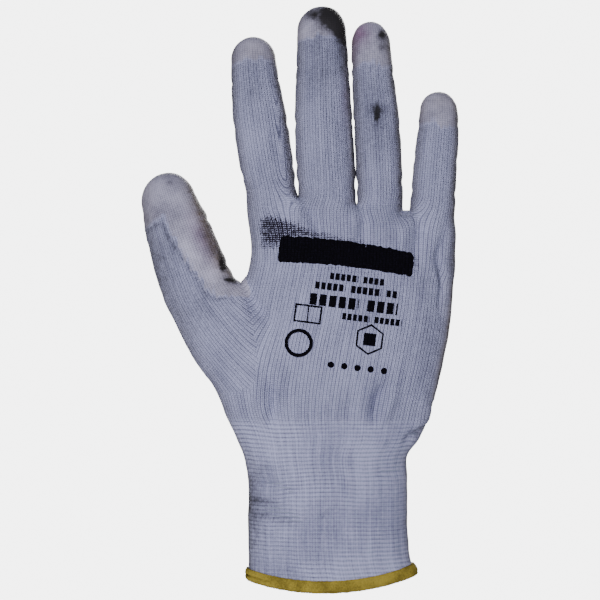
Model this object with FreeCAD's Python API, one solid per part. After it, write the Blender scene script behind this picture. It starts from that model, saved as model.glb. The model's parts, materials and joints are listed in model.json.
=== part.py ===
"""Seamless knitted work glove for a right hand, size 10, with a dipped polyurethane palm.

Frame, in millimetres: the origin is the centre of the wrist opening. +Z runs up the hand to the
fingertips, +X towards the little finger, +Y out of the palm, so the back of the hand faces -Y.

The glove is one knitted liner, one coating film, an elastic cuff and an overlocked hem. Fabric bends
anywhere, so liner and film are divided at the lines where a worn glove folds, and every stretch
between two folds is a rigid tube. A fold turns about a line just outside the wall that creases, so
the opposite wall opens and no two tubes cut into each other.
"""

import FreeCAD, Part

import math
import os

V = FreeCAD.Vector
UP = V(0, 0, 1)
PALMWARD = V(0, 1, 0)

# ---- walls and clearances
KNIT = 1.1  # wall of the knitted liner
FILM = 0.3  # polyurethane film over the liner
INK = 0.12  # print and marker ink on the back
FOLD_GAP = 0.5  # slit between two stretches of fabric at a fold
FAR = 400.0  # longer than the glove

# ---- cuff, wrist and hand: one tube, as (height, left edge, right edge, half thickness)
TRUNK = [
    (-8.0, -36.2, 40.2, 12.4),
    (4.0, -36.2, 38.0, 12.4),
    (22.0, -36.2, 35.4, 12.6),
    (46.0, -36.6, 35.2, 12.8),
    (62.0, -40.8, 38.0, 13.2),
    (76.0, -46.0, 44.3, 13.8),
    (100.0, -45.4, 50.2, 15.0),
    (124.0, -40.0, 54.0, 15.2),
    (148.0, -35.0, 55.0, 13.6),
]
TRUNK_STEP = 9.0  # distance between the ovals that the trunk is lofted through
WEB_AT_MIDDLE = 166.0  # height of the web between the fingers, at x = WEB_X
WEB_X = 5.0
WEB_SLOPE = -0.15  # the web falls towards the little finger
WEB_LEFT, WEB_RIGHT, WEB_HALF = -37.2, 55.4, 11.4
CUFF_TOP = 57.0
WRIST_TOP = 72.0
COATING_FOOT = 80.0  # the palm's film starts above the wrist
COATING_SIDE = 1.0  # it starts this far to the palm side of the hand's widest line
HEM_DIP = 5.6  # the hem hangs this much lower at its middle than at its sides
HEM_SIDE = 2.4  # height of the hem's lower edge at its sides
HEM_HALF_SPAN = 36.0
HEM_HEIGHT = 6.0
HEM_THREAD = 0.9  # overlock thread over the cuff's edge, inside, outside and below
ELASTIC_RADIUS = 0.3
ELASTIC_PITCH = 1.8
ELASTIC_ROOM = 0.25  # between the wall and a rubber thread
ELASTIC_CUFF = (10.4, 55.6)
ELASTIC_WRIST = (58.4, 70.8)

# ---- digits: stations as (x, z, half width, half thickness), and the lean out of the palm, per stretch
# "buried" lies inside the hand. "folds" names the folds from the root up. "end" is the tip's end.
DIGITS = {
    "index": {
        "buried": [(-22.4, 150.0, 9.0, 7.4)],
        "folds": [
            ("root", -26.4, 174.4, 10.6, 8.4),
            ("base", -27.9, 181.9, 11.4, 8.2),
            ("mid", -31.1, 202.5, 11.7, 7.8),
            ("tip", -33.7, 222.5, 10.5, 7.3),
        ],
        "end": (-35.4, 242.6),
        "tip_round": 10.5,
        "lean": [0.0, 3.0, 6.0, 11.0, 16.0],
        "coated_tip": 15.0,
    },
    "middle": {
        "buried": [(0.4, 146.0, 10.0, 7.6)],
        "folds": [
            ("base", -2.0, 177.0, 12.5, 8.6),
            ("mid", -3.2, 203.5, 12.5, 8.2),
            ("tip", -3.7, 229.5, 11.5, 7.7),
        ],
        "end": (-4.3, 256.4),
        "tip_round": 11.5,
        "lean": [0.0, 4.0, 8.0, 13.0],
        "coated_tip": 15.0,
    },
    "ring": {
        "buried": [(20.0, 142.0, 8.4, 7.4)],
        "folds": [
            ("root", 22.3, 169.0, 9.75, 8.2),
            ("base", 21.7, 176.5, 9.95, 8.1),
            ("mid", 20.6, 200.0, 9.9, 7.8),
            ("tip", 18.8, 225.0, 9.1, 7.4),
        ],
        "end": (17.7, 249.4),
        "tip_round": 10.5,
        "lean": [0.0, 3.0, 5.0, 9.0, 14.0],
        "coated_tip": 17.0,
    },
    "little": {
        "buried": [(43.2, 140.0, 8.6, 7.0)],
        "folds": [
            ("root", 44.8, 165.4, 9.7, 7.6),
            ("base", 45.3, 172.6, 9.5, 7.4),
            ("mid", 46.7, 188.0, 9.4, 7.1),
            ("tip", 48.1, 202.5, 8.8, 6.7),
        ],
        "end": (48.6, 217.7),
        "tip_round": 9.0,
        "lean": [0.0, 3.0, 7.0, 12.0, 17.0],
        "coated_tip": 14.0,
    },
    "thumb": {
        "buried": [(-22.4, 86.0, 16.0, 9.2), (-42.6, 105.4, 17.6, 11.2)],
        "folds": [
            ("root", -57.0, 125.6, 17.0, 10.4),
            ("base", -60.8, 134.0, 16.8, 10.0),
            ("tip", -68.6, 156.0, 14.6, 9.2),
        ],
        "end": (-74.4, 180.8),
        "tip_round": 14.0,
        "lean": [3.0, 5.0, 7.0, 9.0, 13.0],
        "coated_tip": 22.0,
        "roll": 22.0,
        "extra_wrap": 54.0,
    },
}
DIGIT_STEP = 6.5  # distance between the ovals that a digit is lofted through
SHOULDER = (0.93, 0.96)  # width and thickness where the tip's dome starts, over those at the last fold
DOME_TURNS = (28, 52, 70, 84)  # degrees round the tip's dome at which it has an oval
COATING_WRAP = 1.0  # the film passes the widest line of a finger by this much towards the back

# ---- print on the back: a marker stroke, and a block of plain bars and signs below it
MARKER_LENGTH, MARKER_WIDTH = 60.0, 11.4
MARKER_CENTRE = (7.0, 145.0)
PRINT_SLOPE = -7.0  # degrees; the whole print falls to the right
TEXT_LINES = [  # (distance below the marker's centre, centre along the line, length, height)
    (10.4, 6.0, 20.0, 2.4),
    (14.8, 6.4, 33.0, 2.6),
    (20.6, 5.6, 34.0, 4.4),
    (26.4, 13.0, 23.0, 2.2),
]
DOTS_BELOW, DOT_COUNT, DOT_PITCH, DOT_RADIUS = 44.6, 5, 5.6, 1.3
DOTS_FROM = -1.0
RING_SIGN = (-16.4, 36.0, 6.6)  # across, down, outer radius
SHIELD_SIGN = (14.4, 35.4, 6.8)
LEAFLET_SIGN = (-9.4, 27.4, 10.0, 7.0)  # across, down, width, height
SIGN_LINE = 0.8  # line width of the signs


# ---- geometry shared by all

class Section:
    """An oval across the fabric: centre, width direction, palmward direction and half sizes."""

    def __init__(self, centre, along, half_width, half_thickness, roll=0.0):
        self.centre = centre
        self.along = unit(along)
        across = unit(PALMWARD.cross(self.along))
        palm = self.along.cross(across)
        self.across, self.palm = turned(across, palm, -roll), turned(palm, across, roll)
        self.half_width = half_width
        self.half_thickness = half_thickness

    def wire(self, grow=0.0, lift=0.0, scale=1.0):
        """The oval, grown outwards, lifted along the tube and scaled about its centre."""
        centre = self.centre + self.along * lift
        major = centre + self.across * ((self.half_width + grow) * scale)
        minor = centre + self.palm * ((self.half_thickness + grow) * scale)
        return Part.Wire([Part.Ellipse(major, minor, centre).toShape()])

    def plane(self, lift=0.0):
        return self.centre + self.along * lift, self.along


class Smooth:
    """Rows of numbers given at knots, joined by one cubic from each knot to the next."""

    def __init__(self, knots, rows):
        self.knots = knots
        self.rows = rows
        steps = [
            [(q - p) / (b - a) for p, q in zip(low, high)]
            for a, b, low, high in zip(knots, knots[1:], rows, rows[1:])
        ]
        inner = [[(p + q) / 2 for p, q in zip(low, high)] for low, high in zip(steps, steps[1:])]
        self.slopes = [steps[0]] + inner + [steps[-1]]

    def at(self, s):
        i = max(k for k in range(len(self.knots) - 1) if k == 0 or self.knots[k] <= s)
        span = self.knots[i + 1] - self.knots[i]
        t = (s - self.knots[i]) / span
        low, high = 2 * t**3 - 3 * t**2 + 1, 3 * t**2 - 2 * t**3
        leave, arrive = (t**3 - 2 * t**2 + t) * span, (t**3 - t**2) * span
        ends = zip(self.rows[i], self.rows[i + 1], self.slopes[i], self.slopes[i + 1])
        return [p * low + q * high + m * leave + n * arrive for p, q, m, n in ends]


def unit(vector):
    return vector * (1.0 / vector.Length)


def turned(vector, towards, degrees):
    """A vector turned by an angle towards another at right angles to it."""
    return vector * math.cos(math.radians(degrees)) + towards * math.sin(math.radians(degrees))


def half_space(point, normal):
    """A block so large that it stands for everything beyond a plane."""
    block = Part.makeBox(2 * FAR, 2 * FAR, FAR, V(-FAR, -FAR, 0))
    block.Placement = FreeCAD.Placement(point, FreeCAD.Rotation(UP, normal))
    return block


def between(shape, low, high):
    """The stretch of a shape from one (point, normal) plane up to another."""
    if low:
        shape = shape.common(half_space(*low))
    if high:
        shape = shape.common(half_space(high[0], high[1] * -1))
    return shape


def evenly(low, high, step):
    """Numbers from low to high, all the same distance apart, which is about the step."""
    count = max(2, round((high - low) / step))
    return [low + (high - low) * i / count for i in range(count + 1)]


def lofted(wires):
    return Part.makeLoft(wires, True, False)


# ---- the trunk: cuff, wrist and hand

TRUNK_OUTLINE = Smooth([row[0] for row in TRUNK], [row[1:] for row in TRUNK])


def trunk_section(z):
    """The level oval of the cuff, the wrist or the hand at a height."""
    left, right, half = TRUNK_OUTLINE.at(z)
    return Section(V((left + right) / 2, 0, z), UP, (right - left) / 2, half)


def trunk_solid(grow, low, high):
    """A closed solid of the trunk between two heights."""
    return lofted([trunk_section(z).wire(grow) for z in evenly(low, high, TRUNK_STEP)])


def hand_trunk(grow, low):
    """The hand as one closed solid up to the web between the fingers, which slopes."""
    wires = [trunk_section(z).wire(grow) for z in evenly(low, TRUNK[-1][0], TRUNK_STEP)]
    middle = (WEB_LEFT + WEB_RIGHT) / 2
    reach = (WEB_RIGHT - WEB_LEFT) / 2 * math.hypot(1, WEB_SLOPE)
    height = WEB_AT_MIDDLE + WEB_SLOPE * (middle - WEB_X)
    top = Section(V(middle, 0, height), V(-WEB_SLOPE, 0, 1), reach, WEB_HALF)
    return lofted(wires + [top.wire(grow, lift=grow)])


def hem_region(below, above):
    """Everything between two arcs parallel to the hem's lower edge, right through the cuff."""

    def arc(lift):
        # the arc runs a little past the cuff's sides
        past = 1.7
        rise = HEM_DIP * (past**2 - 1)
        ends = [V(x * HEM_HALF_SPAN * past, -FAR, HEM_SIDE + rise + lift) for x in (-1, 1)]
        return Part.Arc(ends[0], V(0, -FAR, HEM_SIDE - HEM_DIP + lift), ends[1]).toShape()

    low, high = arc(below), arc(above)
    starts = low.valueAt(low.FirstParameter), high.valueAt(high.FirstParameter)
    finishes = low.valueAt(low.LastParameter), high.valueAt(high.LastParameter)
    sides = Part.makeLine(*starts), Part.makeLine(*finishes)
    outline = Part.Wire(Part.__sortEdges__([low, sides[1], high, sides[0]]))
    return Part.Face(outline).extrude(V(0, 2 * FAR, 0))


def elastic_rings(low, high):
    """Rubber threads laid round the inside of the knit, one above another."""
    inset = KNIT + ELASTIC_RADIUS + ELASTIC_ROOM
    rings = []
    for i in range(int((high - low) / ELASTIC_PITCH) + 1):
        section = trunk_section(low + i * ELASTIC_PITCH)
        start = section.centre + section.across * (section.half_width - inset)
        profile = Part.Wire([Part.Circle(start, PALMWARD, ELASTIC_RADIUS).toShape()])
        rings.append(section.wire(-inset).makePipeShell([profile], True, True))
    return Part.makeCompound(rings)


def make_cuff():
    """The cuff's knit, with the overlocked hem round its edge and rubber threads inside."""
    foot, end = TRUNK[0][0], CUFF_TOP - FOLD_GAP / 2
    cuff = trunk_solid(0.0, foot, end).cut(trunk_solid(-KNIT, foot, end))
    cuff = cuff.common(hem_region(HEM_THREAD, FAR / 4))
    top = CUFF_TOP / 2
    band = trunk_solid(HEM_THREAD, foot, top).cut(trunk_solid(-KNIT - HEM_THREAD, foot, top))
    return {
        "cuff_liner": cuff,
        "cuff_hem": band.common(hem_region(0.0, HEM_HEIGHT)).cut(cuff),
        "cuff_elastic": elastic_rings(*ELASTIC_CUFF),
    }


def make_wrist():
    low, high = CUFF_TOP + FOLD_GAP / 2, WRIST_TOP - FOLD_GAP / 2
    return {
        "wrist_liner": trunk_solid(0.0, low, high).cut(trunk_solid(-KNIT, low, high)),
        "wrist_elastic": elastic_rings(*ELASTIC_WRIST),
    }


# ---- digits

class Digit:
    """A finger or the thumb: its path from inside the hand to the tip, and its folds."""

    def __init__(self, name, spec):
        self.name = name
        self.spec = spec
        rows = spec["buried"] + [fold[1:] for fold in spec["folds"]]
        points = self.leaning([(row[0], row[1]) for row in rows] + [spec["end"]])
        self.end = points.pop()
        reach = self.end - points[-1]
        points.append(points[-1] + unit(reach) * (reach.Length - spec["tip_round"]))
        sizes = [row[2:] for row in rows]
        sizes.append([size * share for size, share in zip(sizes[-1], SHOULDER)])
        knots = [0.0]
        for here, after in zip(points, points[1:]):
            knots.append(knots[-1] + (after - here).Length)
        first = len(spec["buried"])
        rolls = [spec.get("roll", 0.0) * min(1.0, i / first) for i in range(len(points))]
        values = [[p.x, p.y, p.z, *size, roll] for p, size, roll in zip(points, sizes, rolls)]
        self.path = Smooth(knots, values)
        self.length = knots[-1]
        names = [fold[0] for fold in spec["folds"]]
        self.knots = dict(zip(names, knots[first:]))
        self.folds = {name: self.section(knot) for name, knot in self.knots.items()}

    def leaning(self, flat):
        """The stations' points, each stretch leaning out of the palm by its angle."""
        points = [V(flat[0][0], 0, flat[0][1])]
        for (x0, z0), (x1, z1), lean in zip(flat, flat[1:], self.spec["lean"]):
            rise = math.hypot(x1 - x0, z1 - z0) * math.tan(math.radians(lean))
            points.append(V(x1, points[-1].y + rise, z1))
        return points

    def section(self, s):
        """The oval at a distance along the digit's path."""
        x, y, z, half_width, half_thickness, roll = self.path.at(s)
        step = 0.01
        before, after = self.path.at(s - step), self.path.at(s + step)
        along = V(*after[:3]) - V(*before[:3])
        return Section(V(x, y, z), along, half_width, half_thickness, roll)

    def solid(self, grow):
        """The whole digit as a closed solid with a round tip."""
        sections = [self.section(s) for s in evenly(0.0, self.length, DIGIT_STEP)]
        wires = [section.wire(grow) for section in sections]
        reach = self.spec["tip_round"] + grow
        for turn in DOME_TURNS:
            angle = math.radians(turn)
            wires.append(sections[-1].wire(grow, reach * math.sin(angle), math.cos(angle)))
        return lofted(wires)

    def stub(self, grow, lift):
        """The digit's lower end, which is part of the hand."""
        first = next(iter(self.folds.values()))
        return between(self.solid(grow), None, first.plane(lift))

    def stretches(self, shell):
        """The tube between each fold and the next, by the name of the lower fold."""
        names = list(self.folds)
        made = {}
        for name, above in zip(names, names[1:] + [None]):
            low = self.folds[name].plane(FOLD_GAP / 2)
            high = self.folds[above].plane(-FOLD_GAP / 2) if above else None
            made[name] = between(shell, low, high)
        return made

    def coated(self, name, skin):
        """The part of a stretch's skin on the palm side, and all of the tip's end."""
        names = list(self.folds)
        last = name == names[-1]
        finish = self.length if last else self.knots[names[names.index(name) + 1]]
        section = self.section((self.knots[name] + finish) / 2)
        edge = section.centre - section.palm * COATING_WRAP
        regions = [half_space(edge, section.palm)]
        if "extra_wrap" in self.spec:
            normal = turned(section.palm, section.across, self.spec["extra_wrap"])
            regions.append(half_space(section.centre, normal))
        if last:
            along = unit(self.end - section.centre)
            regions.append(half_space(self.end - along * self.spec["coated_tip"], along))
        region = regions[0].fuse(regions[1:]) if len(regions) > 1 else regions[0]
        return skin.common(region)


def make_digit(digit):
    """Liner and coating of each stretch of a digit."""
    outer, inner, film = (digit.solid(grow) for grow in (0.0, -KNIT, FILM))
    parts = {}
    for name, tube in digit.stretches(outer.cut(inner)).items():
        parts[f"{digit.name}_{name}_liner"] = tube
    for name, skin in digit.stretches(film.cut(outer)).items():
        parts[f"{digit.name}_{name}_coating"] = digit.coated(name, skin)
    return parts


# ---- hand and print

HAND_FOOT = WRIST_TOP + FOLD_GAP / 2


def hand_solid(digits, grow, foot, stub_lift):
    """The hand and the roots of all digits as one closed solid."""
    return hand_trunk(grow, foot).fuse([digit.stub(grow, stub_lift) for digit in digits])


def make_hand(digits):
    """The hand's liner with the root of every digit, and the film over its palm."""
    end = -FOLD_GAP / 2
    past = 1.0  # the hollow runs out of every end of the tube
    outer = hand_solid(digits, 0.0, HAND_FOOT, end)
    hollow = hand_solid(digits, -KNIT, HAND_FOOT - past, end + past)
    palm = half_space(V(0, COATING_SIDE, 0), PALMWARD)
    film = hand_solid(digits, FILM, HAND_FOOT, end).cut(outer).common(palm)
    return {
        "hand_liner": outer.cut(hollow),
        "hand_coating": between(film, (V(0, 0, COATING_FOOT), UP), None),
    }


def on_back(across, down):
    """A point of the print's own sloping axes, in front of the back of the hand."""
    slope = math.radians(PRINT_SLOPE)
    x = MARKER_CENTRE[0] + across * math.cos(slope) + down * math.sin(slope)
    z = MARKER_CENTRE[1] + across * math.sin(slope) - down * math.cos(slope)
    return V(x, -FAR / 4, z)


def stamped(outline):
    """A sign's outline, pressed through the back of the hand."""
    return Part.Face(outline).extrude(V(0, FAR / 4, 0))


def bar(across, down, length, height):
    """A bar with round ends."""
    r = height / 2
    half = length / 2 - r
    corners = [(-half, -r), (half, -r), (half, r), (-half, r)]
    a, b, c, d = (on_back(across + i, down + j) for i, j in corners)
    right, left = on_back(across + half + r, down), on_back(across - half - r, down)
    ends = Part.Arc(b, right, c).toShape(), Part.Arc(d, left, a).toShape()
    return stamped(Part.Wire([Part.makeLine(a, b), ends[0], Part.makeLine(c, d), ends[1]]))


def disc(across, down, radius):
    circle = Part.Circle(on_back(across, down), V(0, -1, 0), radius).toShape()
    return stamped(Part.Wire([circle]))


def polygon(corners):
    points = [on_back(*corner) for corner in corners]
    return stamped(Part.makePolygon(points + points[:1]))


def rectangle(across, down, width, height):
    w, h = width / 2, height / 2
    corners = [(-w, -h), (w, -h), (w, h), (-w, h)]
    return polygon([(across + i, down + j) for i, j in corners])


def hexagon(across, down, radius):
    turns = [math.radians(60 * i + 30) for i in range(6)]
    return polygon([(across + radius * math.cos(t), down + radius * math.sin(t)) for t in turns])


def make_print():
    """Ink on the back: the marker stroke, and the print block of plain bars and signs."""
    layer = hand_trunk(INK, HAND_FOOT).cut(hand_trunk(0.0, HAND_FOOT))
    marks = [bar(across, down, length, height) for down, across, length, height in TEXT_LINES]
    for i in range(DOT_COUNT):
        marks.append(disc(DOTS_FROM + i * DOT_PITCH, DOTS_BELOW, DOT_RADIUS))
    across, down, radius = RING_SIGN
    marks.append(disc(across, down, radius).cut(disc(across, down, radius - 2 * SIGN_LINE)))
    across, down, radius = SHIELD_SIGN
    marks.append(hexagon(across, down, radius).cut(hexagon(across, down, radius - SIGN_LINE)))
    marks.append(rectangle(across, down, radius * 0.8, radius * 0.8))
    across, down, width, height = LEAFLET_SIGN
    inside = rectangle(across, down, width - 2 * SIGN_LINE, height - 2 * SIGN_LINE)
    marks.append(rectangle(across, down, width, height).cut(inside))
    return {
        "marker_stroke": layer.common(bar(0, 0, MARKER_LENGTH, MARKER_WIDTH)),
        "back_print": Part.makeCompound([layer.common(mark) for mark in marks]),
    }


def export(parts):
    os.makedirs("parts", exist_ok=True)
    for name, shape in sorted(parts.items()):
        solids = Part.makeCompound(shape.Solids)
        valid = all(solid.isValid() for solid in shape.Solids)
        print(f"{name}: {len(shape.Solids)} solids, {solids.Volume:.1f} mm3, valid {valid}")
        solids.exportStep(f"parts/{name}.step")


def main():
    digits = [Digit(name, spec) for name, spec in DIGITS.items()]
    parts = {**make_cuff(), **make_wrist(), **make_hand(digits), **make_print()}
    for digit in digits:
        parts.update(make_digit(digit))
    export(parts)


if __name__ == "__main__":
    main()
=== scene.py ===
"""Looks of the knitted work glove. Sizes are in millimetres until a mesh is made, which is in metres.

The skin is one surface, made where a distance field is zero: an oval trunk and five oval digits, joined
with soft fillets. It carries each point's wale and course of the knit, so the stitches run from the
cuff to every fingertip, and is then cut into one piece per joint, each bending across that joint.
"""
import json
import math

import bmesh
import bpy
import numpy as np
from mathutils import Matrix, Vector, noise

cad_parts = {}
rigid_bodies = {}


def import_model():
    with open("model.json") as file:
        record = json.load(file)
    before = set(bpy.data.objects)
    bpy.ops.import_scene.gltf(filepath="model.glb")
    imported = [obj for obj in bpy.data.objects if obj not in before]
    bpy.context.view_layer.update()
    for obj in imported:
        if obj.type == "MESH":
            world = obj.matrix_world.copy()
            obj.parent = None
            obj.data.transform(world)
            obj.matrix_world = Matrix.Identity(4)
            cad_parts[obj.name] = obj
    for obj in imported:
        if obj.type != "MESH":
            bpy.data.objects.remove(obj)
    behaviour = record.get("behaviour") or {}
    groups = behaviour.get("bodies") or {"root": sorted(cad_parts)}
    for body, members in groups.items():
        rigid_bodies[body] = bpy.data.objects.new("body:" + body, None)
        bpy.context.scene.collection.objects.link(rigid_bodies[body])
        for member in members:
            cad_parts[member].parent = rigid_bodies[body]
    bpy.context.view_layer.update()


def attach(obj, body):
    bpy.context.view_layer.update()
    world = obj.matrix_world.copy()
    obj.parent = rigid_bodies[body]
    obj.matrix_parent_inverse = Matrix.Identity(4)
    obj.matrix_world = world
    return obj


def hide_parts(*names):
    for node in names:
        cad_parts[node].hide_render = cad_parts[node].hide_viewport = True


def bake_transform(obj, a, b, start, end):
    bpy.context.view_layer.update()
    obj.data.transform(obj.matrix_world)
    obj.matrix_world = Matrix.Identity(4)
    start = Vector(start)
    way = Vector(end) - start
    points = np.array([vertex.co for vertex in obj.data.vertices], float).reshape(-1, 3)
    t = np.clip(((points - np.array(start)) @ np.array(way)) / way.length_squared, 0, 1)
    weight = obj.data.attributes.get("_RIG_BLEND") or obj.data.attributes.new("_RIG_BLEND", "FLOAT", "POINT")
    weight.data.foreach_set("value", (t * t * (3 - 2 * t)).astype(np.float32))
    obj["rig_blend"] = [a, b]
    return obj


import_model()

MM = 0.001
SEED = 7

# ---- fabric
KNIT = 1.1  # wall
FILM = 0.3  # coating over the wall
VOXEL = 1.5  # size of the skin's faces
WALE = 1.3  # width of a column of stitches on the hand
COURSE = 0.95  # height of a row of stitches

# ---- trunk: (height, left edge, right edge, half thickness)
TRUNK = [
    (-12.0, -36.6, 42.0, 12.0),
    (2.0, -36.8, 38.6, 12.0),
    (10.0, -36.8, 35.6, 12.2),
    (22.0, -36.9, 34.4, 12.5),
    (46.0, -37.0, 34.3, 12.6),
    (56.0, -38.8, 34.2, 12.8),
    (64.0, -42.0, 39.4, 13.2),
    (76.0, -46.8, 43.9, 13.8),
    (100.0, -46.0, 50.0, 14.8),
    (124.0, -40.0, 53.4, 14.6),
    (148.0, -35.0, 54.6, 12.4),
    (166.0, -35.8, 54.8, 9.6),
]
WEB_HEIGHT, WEB_X, WEB_SLOPE = 165.0, 5.0, -0.15
WEB_ROUND = 7.0
CUFF_TOP = 57.0
WRIST_TOP = 72.0
ROOT_FILLET = 6.0
THUMB_FILLET = 9.0

# ---- digits, close to the CAD's. A row is (x, z, half width, half thickness), after its fold's name
DIGITS = {
    "index": {
        "buried": [(-22.4, 150.0, 9.0, 7.4)],
        "folds": [
            ("root", -26.4, 174.4, 10.6, 8.4),
            ("base", -27.9, 181.9, 11.4, 8.2),
            ("mid", -31.1, 202.5, 11.7, 7.8),
            ("tip", -33.7, 222.5, 10.5, 7.3),
        ],
        "end": (-35.4, 242.6),
        "tip_round": 10.5,
        "lean": [0.0, 3.0, 6.0, 11.0, 16.0],
        "coated_tip": 15.0,
    },
    "middle": {
        "buried": [(0.4, 146.0, 10.0, 7.6)],
        "folds": [
            ("base", -1.9, 177.0, 12.6, 8.6),
            ("mid", -3.2, 203.5, 12.6, 8.2),
            ("tip", -3.7, 229.5, 11.5, 7.7),
        ],
        "end": (-4.3, 256.4),
        "tip_round": 11.5,
        "lean": [0.0, 4.0, 8.0, 13.0],
        "coated_tip": 18.0,
    },
    "ring": {
        "buried": [(20.0, 142.0, 8.4, 7.4)],
        "folds": [
            ("root", 21.9, 169.0, 10.0, 8.2),
            ("base", 21.6, 176.5, 9.95, 8.1),
            ("mid", 20.6, 200.0, 10.0, 7.8),
            ("tip", 18.8, 225.0, 9.1, 7.4),
        ],
        "end": (17.7, 249.4),
        "tip_round": 10.5,
        "lean": [0.0, 3.0, 5.0, 9.0, 14.0],
        "coated_tip": 23.5,
    },
    "little": {
        "buried": [(43.2, 140.0, 8.6, 7.0)],
        "folds": [
            ("root", 44.8, 165.4, 9.7, 7.6),
            ("base", 45.3, 172.6, 9.5, 7.4),
            ("mid", 46.7, 188.0, 9.4, 7.1),
            ("tip", 48.1, 202.5, 8.8, 6.7),
        ],
        "end": (48.6, 217.7),
        "tip_round": 9.0,
        "lean": [0.0, 3.0, 7.0, 12.0, 17.0],
        "coated_tip": 18.0,
    },
    "thumb": {
        "buried": [(-25.0, 84.5, 17.6, 9.2), (-43.4, 104.6, 18.2, 11.2)],
        "folds": [
            ("root", -56.8, 125.6, 17.0, 10.4),
            ("base", -60.6, 134.0, 17.0, 10.0),
            ("tip", -68.8, 156.0, 15.2, 9.2),
        ],
        "end": (-77.0, 181.3),
        "tip_round": 14.0,
        "lean": [3.0, 5.0, 7.0, 9.0, 13.0],
        "coated_tip": 23.0,
        "roll": 22.0,
        "shoulder": (0.85, 0.94),
    },
}
SHOULDER = (0.93, 0.96)  # share of the last fold's half sizes left where the rounded tip starts
PATH_STEP = 0.8  # between the rows of a digit's path
ROUGH_INSET = 1.9  # the rough tubes are this much thinner, so that close fingers stay apart
TUBE_SIDES, TRUNK_RINGS, RING_EVERY = 32, 60, 3
DOME_TURNS = (20, 40, 60, 80)  # degrees, of the rings over a digit's rounded tip
SETTLE_STEPS, SETTLE_PULL, SETTLE_REACH = 8, 0.6, 2.0  # how the skin is evened and drawn to the field
SLOPE_STEP = 0.15  # over which the field's slope is measured


# ---- geometry: paths, sections and the distance field

def smooth_rows(knots, rows, at):
    """Rows of numbers at knots, joined by cubics, read at many places at once."""
    knots, rows, at = np.array(knots, float), np.array(rows, float), np.asarray(at, float)
    steps = np.diff(rows, axis=0) / np.diff(knots)[:, None]
    slopes = np.vstack([steps[:1], (steps[:-1] + steps[1:]) / 2, steps[-1:]])
    i = np.clip(np.searchsorted(knots, at, side="right") - 1, 0, len(knots) - 2)
    span = (knots[i + 1] - knots[i])[:, None]
    t = ((at - knots[i]) / (knots[i + 1] - knots[i]))[:, None]
    low, high = 2 * t**3 - 3 * t**2 + 1, 3 * t**2 - 2 * t**3
    leave, arrive = (t**3 - 2 * t**2 + t) * span, (t**3 - t**2) * span
    return rows[i] * low + rows[i + 1] * high + slopes[i] * leave + slopes[i + 1] * arrive


def ramp(x, low, high):
    """0 below low, 1 above high, smooth between."""
    t = np.clip((x - low) / (high - low), 0, 1)
    return t * t * (3 - 2 * t)


def full_turn(count):
    """Evenly spaced turns round a circle, in radians."""
    return np.linspace(0, 2 * math.pi, count + 1)[:-1]


def soft_min(a, b, k):
    """The smaller of two fields, rounded off where they are closer than k."""
    h = np.clip(0.5 + 0.5 * (b - a) / k, 0, 1)
    return b * (1 - h) + a * h - k * h * (1 - h)


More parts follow.
